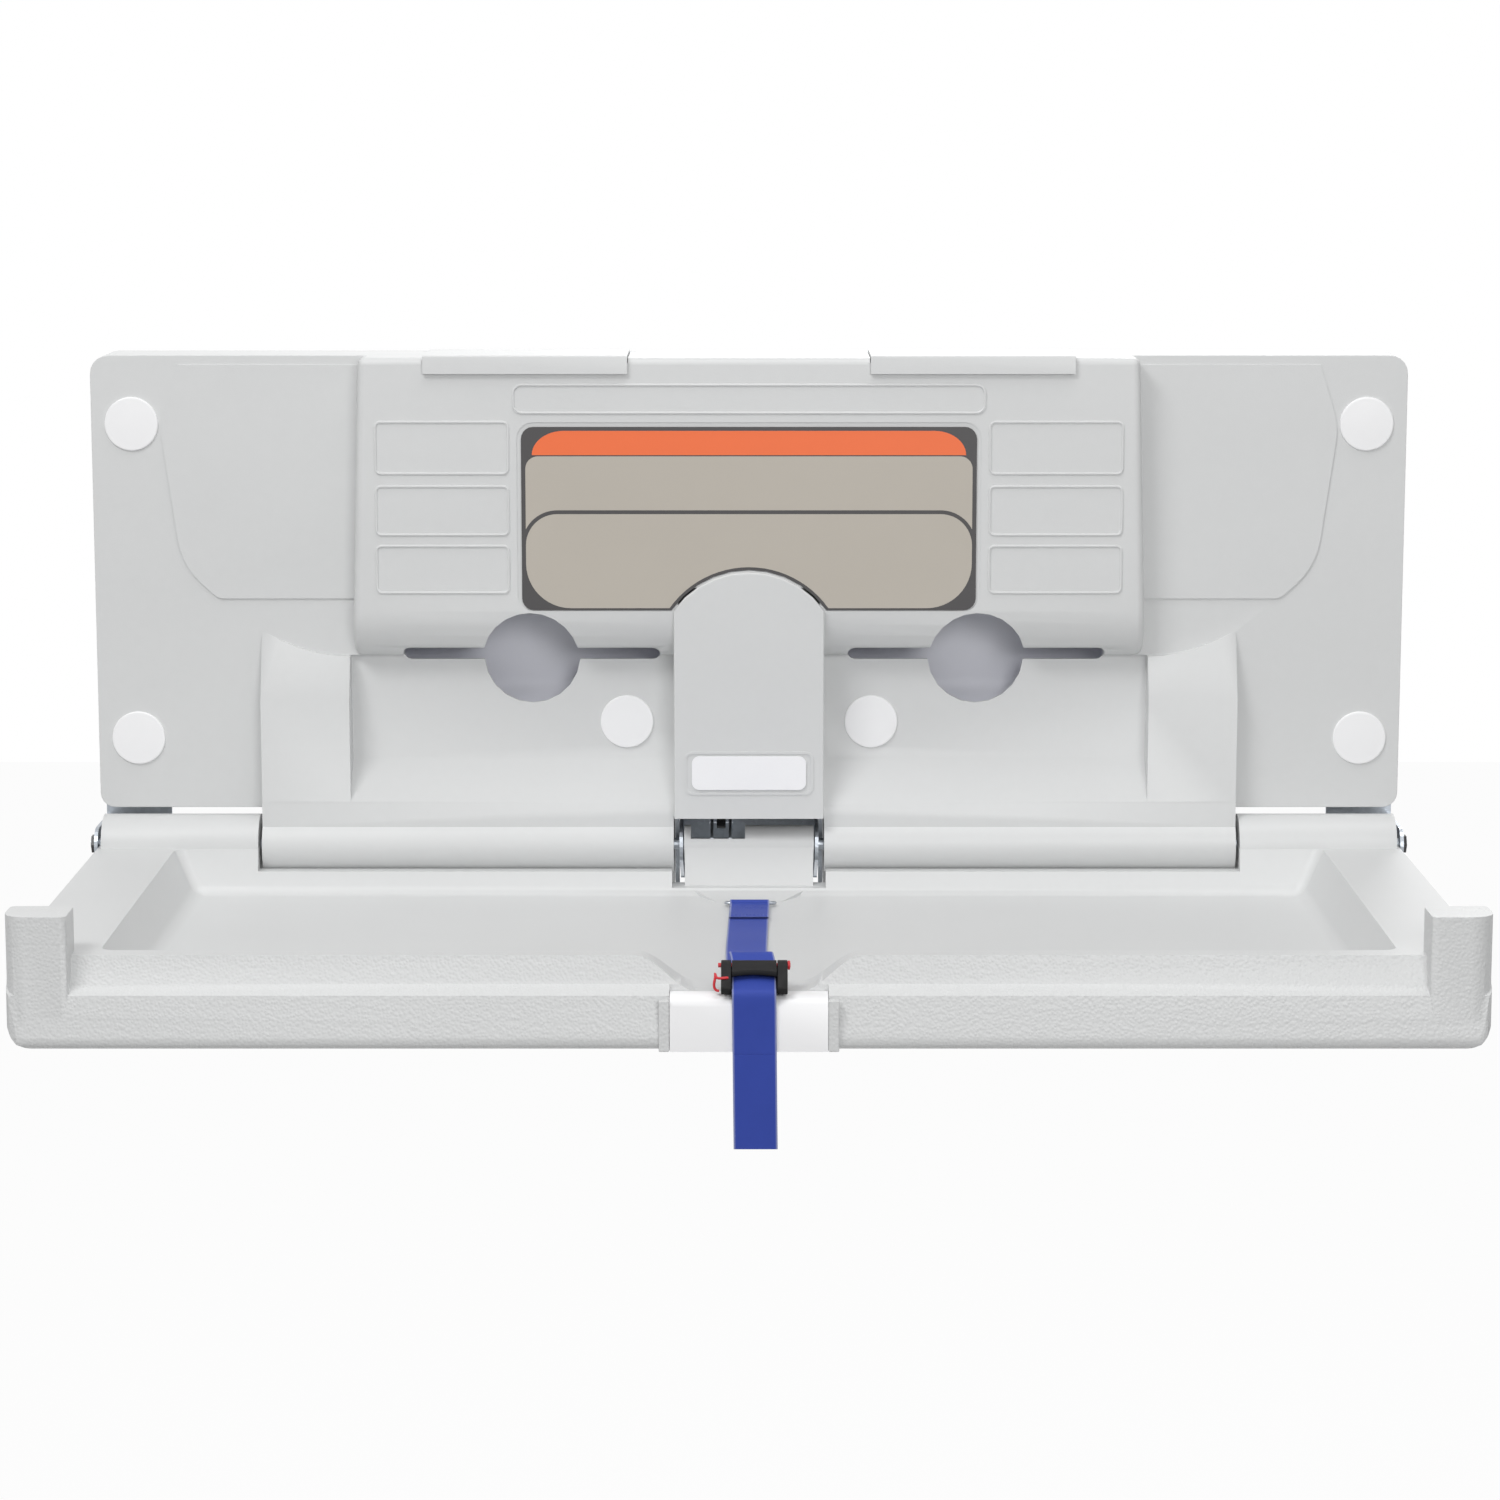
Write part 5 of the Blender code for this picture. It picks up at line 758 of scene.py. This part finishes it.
def rounded_path(path, rounds=3):
    """Cuts the corners of an open path, which rounds them."""
    for _ in range(rounds):
        cut = [path[0]]
        for first, second in zip(path, path[1:]):
            cut.append(first.lerp(second, 0.25))
            cut.append(first.lerp(second, 0.75))
        path = [*cut, path[-1]]
    return path


def section(half, thickness):
    """The ribbon's outline as (across, up, painted edge highlight), with rounded edges."""
    edge = thickness / 2
    flat = half - edge
    inside = flat - HIGHLIGHT_BAND_WIDTH
    top = [(-flat, edge, 1.0), (-inside, edge, 0.0)]
    top += [(inside * (2.0 * i / 8 - 1.0), edge, 0.0) for i in range(1, 8)]
    top += [(inside, edge, 0.0), (flat, edge, 1.0)]
    turn = [math.radians(a) for a in (60.0, 30.0, 0.0, -30.0, -60.0)]
    right = [(flat + edge * math.cos(a), edge * math.sin(a), 1.0) for a in turn]
    under = [(x, -y, k) for x, y, k in reversed(top)]
    left = [(-x, y, k) for x, y, k in reversed(right)]
    return top + right + under + left


def ribbon(name, path, width=STRAP_WIDTH, thickness=STRAP_THICKNESS):
    """A strap along a path of (depth, height, sideways) points."""
    points = rounded_path([Vector(p) for p in path])
    shape = bmesh.new()
    weave = shape.verts.layers.float_vector.new("weave")
    length, rings = 0.0, []
    for i, point in enumerate(points):
        before, after = points[max(i - 1, 0)], points[min(i + 1, len(points) - 1)]
        heading = (after - before).normalized()
        up = Vector((-heading.y, heading.x)).normalized()
        if up.y < 0.0 or (abs(up.y) < UPRIGHT_LIMIT and up.x > 0.0):
            up = -up
        length += (point - before).length if i else 0.0
        squeeze = END_SQUEEZE if i in (0, len(points) - 1) else 1.0
        ring = []
        for across, rise, edge in section(width / 2, thickness):
            rise *= squeeze
            vert = shape.verts.new((point.z + across, point.x + up.x * rise, point.y + up.y * rise))
            vert[weave] = (across, length, edge)
            ring.append(vert)
        rings.append(ring)
    for first, second in zip(rings, rings[1:]):
        for i in range(len(first)):
            j = (i + 1) % len(first)
            shape.faces.new((first[i], first[j], second[j], second[i]))
    shape.faces.new(rings[0])
    shape.faces.new(reversed(rings[-1]))
    return mesh_from(shape, name)


# %% The strap, its sewn flap and its folded end
FLAP_LIFT = STRAP_THICKNESS + 0.0001
FLAP_SHIFT = 0.0003
FLAP_WIDTH = STRAP_WIDTH - 0.0002
UPPER_PATH = [
    (-0.12171, -0.02755, 0.0004), (-0.12271, -0.02655, 0.0004), (-0.12338, -0.02566, 0.0004),
    (-0.12443, -0.02530, 0.0004), (-0.12551, -0.02559, 0.0004), (-0.12624, -0.02643, 0.0004),
    (-0.12637, -0.02753, 0.0004), (-0.12830, -0.02790, 0.0004), (-0.13210, -0.02880, 0.0003),
    (-0.15000, -0.02900, 0.0000), (-0.17600, -0.02830, -0.0004), (-0.20500, -0.02905, -0.0008),
    (-0.23500, -0.02850, -0.0012), (-0.26500, -0.02900, -0.0016), (-0.29500, -0.02860, -0.0014),
    (-0.33000, -0.02900, -0.0004), (-0.35700, -0.02900, 0.0010), (-0.38000, -0.02670, 0.0018),
    (-0.40000, -0.01280, 0.0024), (-0.40423, -0.00909, 0.0026), (-0.40513, -0.00560, 0.0028),
]
FLAP_PATH = [
    (-0.12920, -0.02665, 0.0006),
    *((y, z + FLAP_LIFT, x + FLAP_SHIFT) for y, z, x in UPPER_PATH[8:11]),
    (-0.17100, -0.02710, 0.0000),
]
FRONT_PATH = [
    (-0.39720, -0.00230, 0.0010), (-0.40050, -0.00160, 0.0014), (-0.40420, -0.00270, 0.0020),
    (-0.40800, -0.00560, 0.0028), (-0.41500, -0.00915, 0.0030), (-0.42600, -0.01306, 0.0030),
    (-0.43520, -0.01640, 0.0030), (-0.43745, -0.01760, 0.0030), (-0.43838, -0.02100, 0.0031),
    (-0.43790, -0.03180, 0.0032), (-0.43770, -0.04500, 0.0033), (-0.43770, -0.05500, 0.0034),
]
TAIL_PATH = [(-0.43770, -0.05500, 0.0034), (-0.43770, -0.07500, 0.0036),
             (-0.43770, -0.09500, 0.0038), (-0.43770, -0.11300, 0.0040)]

fit("webbing_upper", ribbon("webbing_upper", UPPER_PATH), blue_webbing, "bed",
    replaced=("strap_upper",))
fit("webbing_flap", ribbon("webbing_flap", FLAP_PATH, width=FLAP_WIDTH), blue_webbing, "bed")
fit("webbing_front", ribbon("webbing_front", FRONT_PATH), blue_webbing, "bed",
    replaced=("strap_front",))
fit("webbing_tail", ribbon("webbing_tail", TAIL_PATH), blue_webbing, "strap_end",
    replaced=("strap_tail",))

# %% Stitches across the sewn flap
STITCH_LENGTH, STITCH_RADIUS, STITCH_SPACING = 0.0018, 0.00022, 0.0024
STITCH_MARGIN = 0.0022
STITCH_PROFILE = [(0.0, -0.5), (0.7, -0.38), (1.0, -0.15), (1.0, 0.15), (0.7, 0.38), (0.0, 0.5)]
STITCH_ROWS = (-0.1395, -0.1425, -0.1655, -0.1685)

stitch_shape = turned_round(STITCH_PROFILE, 10, "stitch")
lay_along_x = Matrix.Rotation(math.radians(-90.0), 4, "Z")
stitch_shape.transform(lay_along_x @ Matrix.Diagonal((STITCH_RADIUS, STITCH_LENGTH, STITCH_RADIUS, 1.0)))
stitch = bpy.data.objects.new("stitch", stitch_shape)
for row, depth in enumerate(STITCH_ROWS):
    before, after = next((a, b) for a, b in zip(FLAP_PATH, FLAP_PATH[1:]) if b[0] <= depth <= a[0])
    share = (depth - before[0]) / (after[0] - before[0])
    height = before[1] + (after[1] - before[1]) * share + STRAP_THICKNESS / 2
    reach = STRAP_WIDTH / 2 - STITCH_MARGIN
    line = [(-reach, depth, height), (reach, depth, height)]
    stitches = grow(along_path, line, joined=True, piece=stitch, spacing=STITCH_SPACING,
                    material=blue_thread.material)
    fit(f"stitches_{row}", stitches, blue_thread, "bed")

# %% [markdown]
# ## Cam buckle
#
# The buckle holds the strap between a base with two ears and a cam flap on a red pin. In the photograph
# the ears slope down to the front, the flap's lip is a shallow arch, and a bent red wire hooks into the
# left ear. The ears, the flap and the pin's head are built level and then tilted into place.

# %% Buckle frame
PIN_POINT = (-0.0080, 0.0068)
BUCKLE_TILT = math.radians(20.0)
BUCKLE_PLACE = (Matrix.Translation((0.003183, -0.4075, -0.00934))
                @ Matrix.Rotation(BUCKLE_TILT, 4, "X"))
BUCKLE_HALF, CHANNEL_HALF = 0.01975, 0.01375
BASE_HALF = CHANNEL_HALF + 0.002
EAR_EDGE, BASE_EDGE = 0.0005, 0.0003
EDGE_ANGLE = 0.6
EAR_OUTLINE = [(-0.0002, 0.0), (-0.0002, 0.0042), (-0.0022, 0.0068), (-0.0062, 0.0092),
               (-0.0100, 0.0098), (-0.0190, 0.0096), (-0.0240, 0.0080), (-0.0290, 0.0052),
               (-0.0300, 0.0040), (-0.0300, 0.0)]
BASE_OUTLINE = [(-0.0008, 0.0003), (-0.0008, 0.0024), (-0.0294, 0.0024), (-0.0294, 0.0003)]


def slab(shape, outline, left, right, bevel):
    """Adds an outline of (y, z) points, drawn out from left to right along X, to a bmesh."""
    low = [shape.verts.new((left, y, z)) for y, z in outline]
    high = [shape.verts.new((right, y, z)) for y, z in outline]
    faces = [shape.faces.new(low), shape.faces.new(reversed(high))]
    for i in range(len(outline)):
        j = (i + 1) % len(outline)
        faces.append(shape.faces.new((low[j], low[i], high[i], high[j])))
    shape.normal_update()
    bmesh.ops.recalc_face_normals(shape, faces=faces)
    edges = list({edge for face in faces for edge in face.edges if edge.calc_face_angle(0.0) > EDGE_ANGLE})
    bmesh.ops.bevel(shape, geom=edges, offset=bevel, segments=2, profile=0.5, affect="EDGES")


shape = bmesh.new()
slab(shape, EAR_OUTLINE, -BUCKLE_HALF, -CHANNEL_HALF, EAR_EDGE)
slab(shape, EAR_OUTLINE, CHANNEL_HALF, BUCKLE_HALF, EAR_EDGE)
slab(shape, BASE_OUTLINE, -BASE_HALF, BASE_HALF, BASE_EDGE)
body = mesh_from(shape, "buckle_body")
body.transform(BUCKLE_PLACE)
fit("buckle_body", body, black_nylon, "bed", replaced=("buckle_frame",))

# %% Buckle flap
FLAP_HALF = 0.01325
FLAP_COLUMNS = 16
HEEL_RADIUS = 0.0030
LIP_REACH, LIP_ARCH = 0.0125, 0.0022


def flap_column(x):
    """The flap's side outline at one place across; its lip is drawn in towards the middle."""
    arch = LIP_ARCH * (1.0 - (x / FLAP_HALF) ** 2)
    heel = arc(PIN_POINT, HEEL_RADIUS, 90.0, -126.0, 9)
    tip = PIN_POINT[0] - LIP_REACH + arch
    lip = [(tip + 0.0022, 0.0069), (tip + 0.0006, 0.0062), (tip, 0.0066), (tip, 0.0082),
           (tip + 0.0009, 0.0094), (tip + 0.0035, 0.0096)]
    return heel + lip


shape = bmesh.new()
columns = []
for i in range(FLAP_COLUMNS + 1):
    x = FLAP_HALF * (2.0 * i / FLAP_COLUMNS - 1.0)
    columns.append([shape.verts.new((x, y, z)) for y, z in flap_column(x)])
for first, second in zip(columns, columns[1:]):
    for i in range(len(first)):
        j = (i + 1) % len(first)
        shape.faces.new((first[i], first[j], second[j], second[i]))
shape.faces.new(columns[0])
shape.faces.new(reversed(columns[-1]))
flap = mesh_from(shape, "buckle_flap")
flap.transform(BUCKLE_PLACE)
fit("buckle_flap", flap, black_nylon, "buckle_cam", replaced=("buckle_lever",))

# %% Red pin head and bent wire
HEAD_PROFILE = [(0.0, 0.0), (0.0024, 0.0), (0.0028, 0.0004), (0.0028, 0.0012), (0.0024, 0.0016),
                (0.0, 0.0017)]

head = turned_round(HEAD_PROFILE, 24, "pin_head")
head.transform(Matrix.Rotation(math.radians(-90.0), 4, "Z"))
head.transform(BUCKLE_PLACE @ Matrix.Translation((BUCKLE_HALF, *PIN_POINT)))
fit("pin_head", head, red_plastic, "bed")

WIRE_RADIUS = 0.00082
WIRE_PATH = [(-0.0123, -0.4327, -0.0100), (-0.0150, -0.4333, -0.0100), (-0.0178, -0.4335, -0.0102),
             (-0.0195, -0.4323, -0.0098), (-0.0201, -0.4305, -0.0076), (-0.0198, -0.4315, -0.0090),
             (-0.0203, -0.4327, -0.0116), (-0.0208, -0.4327, -0.0144), (-0.0203, -0.4327, -0.0166),
             (-0.0190, -0.4327, -0.0178), (-0.0176, -0.4327, -0.0178)]
hook = grow(wire, rounded_path([Vector(p) for p in WIRE_PATH], 2), joined=True,
            radius=WIRE_RADIUS, material=red_plastic.material)
fit("red_wire", hook, red_plastic, "bed")

# %% [markdown]
# ## Lamps
#
# The photograph has broad soft light from the front left, a little from above, and almost no shadow.
# Four rectangular lamps give that. The rear one stands high behind the wall body, so it lights the top
# of the housing and the back without reaching the tray.

# %% Lamps
LAMPS = (
    # name, place, aimed at, power, width, height
    ("key", (-1.3, -1.9, 2.3), (0.0, -0.2, 0.1), 33.0, 1.2, 0.9),
    ("fill", (0.6, -2.9, 1.0), (0.0, 0.0, 0.22), 20.0, 1.0, 0.8),
    ("top", (0.3, -0.6, 2.3), (0.0, -0.1, 0.3), 13.5, 1.6, 0.7),
    ("rear", (0.5, 2.6, 2.1), (0.0, 0.0, 0.2), 38.0, 1.6, 1.2),
)

for name, place, target, power, width, height in LAMPS:
    lamp = bpy.data.lights.new(name, "AREA")
    lamp.shape = "RECTANGLE"
    lamp.size, lamp.size_y = width, height
    lamp.energy = power
    holder = bpy.data.objects.new(name, lamp)
    holder.location = place
    aim = Vector(target) - Vector(place)
    holder.rotation_euler = aim.to_track_quat("-Z", "Y").to_euler()
    bpy.context.scene.collection.objects.link(holder)
    print("lamp", name, power, "W")

# %% [markdown]
# ## White surroundings
#
# The photograph has a plain white background. The world lights the object with a dim white, and what
# the camera or a reflection sees of it is full white. The floor lies far below and is shaded the same
# way, so it is a pale paper sheet to the lamps and nearly white to the camera.

# %% World
SOFT_LIGHT = 0.36

world = bpy.data.worlds.new("studio")
world.use_nodes = True
bpy.context.scene.world = world
world_nodes, world_links = world.node_tree.nodes, world.node_tree.links
soft = world_nodes["Background"]
soft.inputs["Color"].default_value = (1.0, 1.0, 1.0, 1.0)
soft.inputs["Strength"].default_value = SOFT_LIGHT
paper = world_nodes.new("ShaderNodeBackground")
paper.inputs["Color"].default_value = (1.0, 1.0, 1.0, 1.0)
paths = world_nodes.new("ShaderNodeLightPath")
seen = world_nodes.new("ShaderNodeMath")
seen.operation = "MAXIMUM"
glass = world_nodes.new("ShaderNodeMath")
glass.operation = "MAXIMUM"
choice = world_nodes.new("ShaderNodeMixShader")
world_links.new(paths.outputs["Is Camera Ray"], seen.inputs[0])
world_links.new(paths.outputs["Is Glossy Ray"], seen.inputs[1])
world_links.new(seen.outputs[0], glass.inputs[0])
world_links.new(paths.outputs["Is Transmission Ray"], glass.inputs[1])
world_links.new(glass.outputs[0], choice.inputs[0])
world_links.new(soft.outputs[0], choice.inputs[1])
world_links.new(paper.outputs[0], choice.inputs[2])
world_links.new(choice.outputs[0], world_nodes["World Output"].inputs["Surface"])
print("world nodes:", len(world_nodes))

# %% Floor
FLOOR_HEIGHT = -1.45
FLOOR_REACH = 9.0
FLOOR_GLOW = 0.96

floor_mesh = bpy.data.meshes.new("floor")
floor_mesh.from_pydata([(x * FLOOR_REACH, y * FLOOR_REACH, FLOOR_HEIGHT)
                        for x, y in ((-1, -1), (1, -1), (1, 1), (-1, 1))], [], [(0, 1, 2, 3)])
floor = bpy.data.objects.new("floor", floor_mesh)
bpy.context.scene.collection.objects.link(floor)
floor_finish = Finish("floor", base_color=(0.7, 0.7, 0.7, 1.0), roughness=0.9)
glow = floor_finish.node("ShaderNodeEmission", {"Color": (1.0, 1.0, 1.0, 1.0), "Strength": 1.0})
rays = floor_finish.tree.nodes.new("ShaderNodeLightPath")
camera_ray = Value(floor_finish, rays.outputs["Is Camera Ray"])
glossy_ray = Value(floor_finish, rays.outputs["Is Glossy Ray"])
through_ray = Value(floor_finish, rays.outputs["Is Transmission Ray"])
share = camera_ray.math("MAXIMUM", glossy_ray).math("MAXIMUM", through_ray) * FLOOR_GLOW
diffuse = Value(floor_finish, floor_finish.shader.outputs[0])
both = floor_finish.node("ShaderNodeMixShader", {0: share, 1: diffuse, 2: glow})
output = floor_finish.tree.nodes["Material Output"]
floor_finish.connect(output.inputs["Surface"], both)
floor_mesh.materials.append(floor_finish.material)
print("floor height:", FLOOR_HEIGHT)

# %% [markdown]
# ## Last step
#
# The colours are shown without a film curve, since the photograph's greys were read from the screen.

# %% Colours without a film curve
bpy.context.scene.view_settings.view_transform = "Standard"
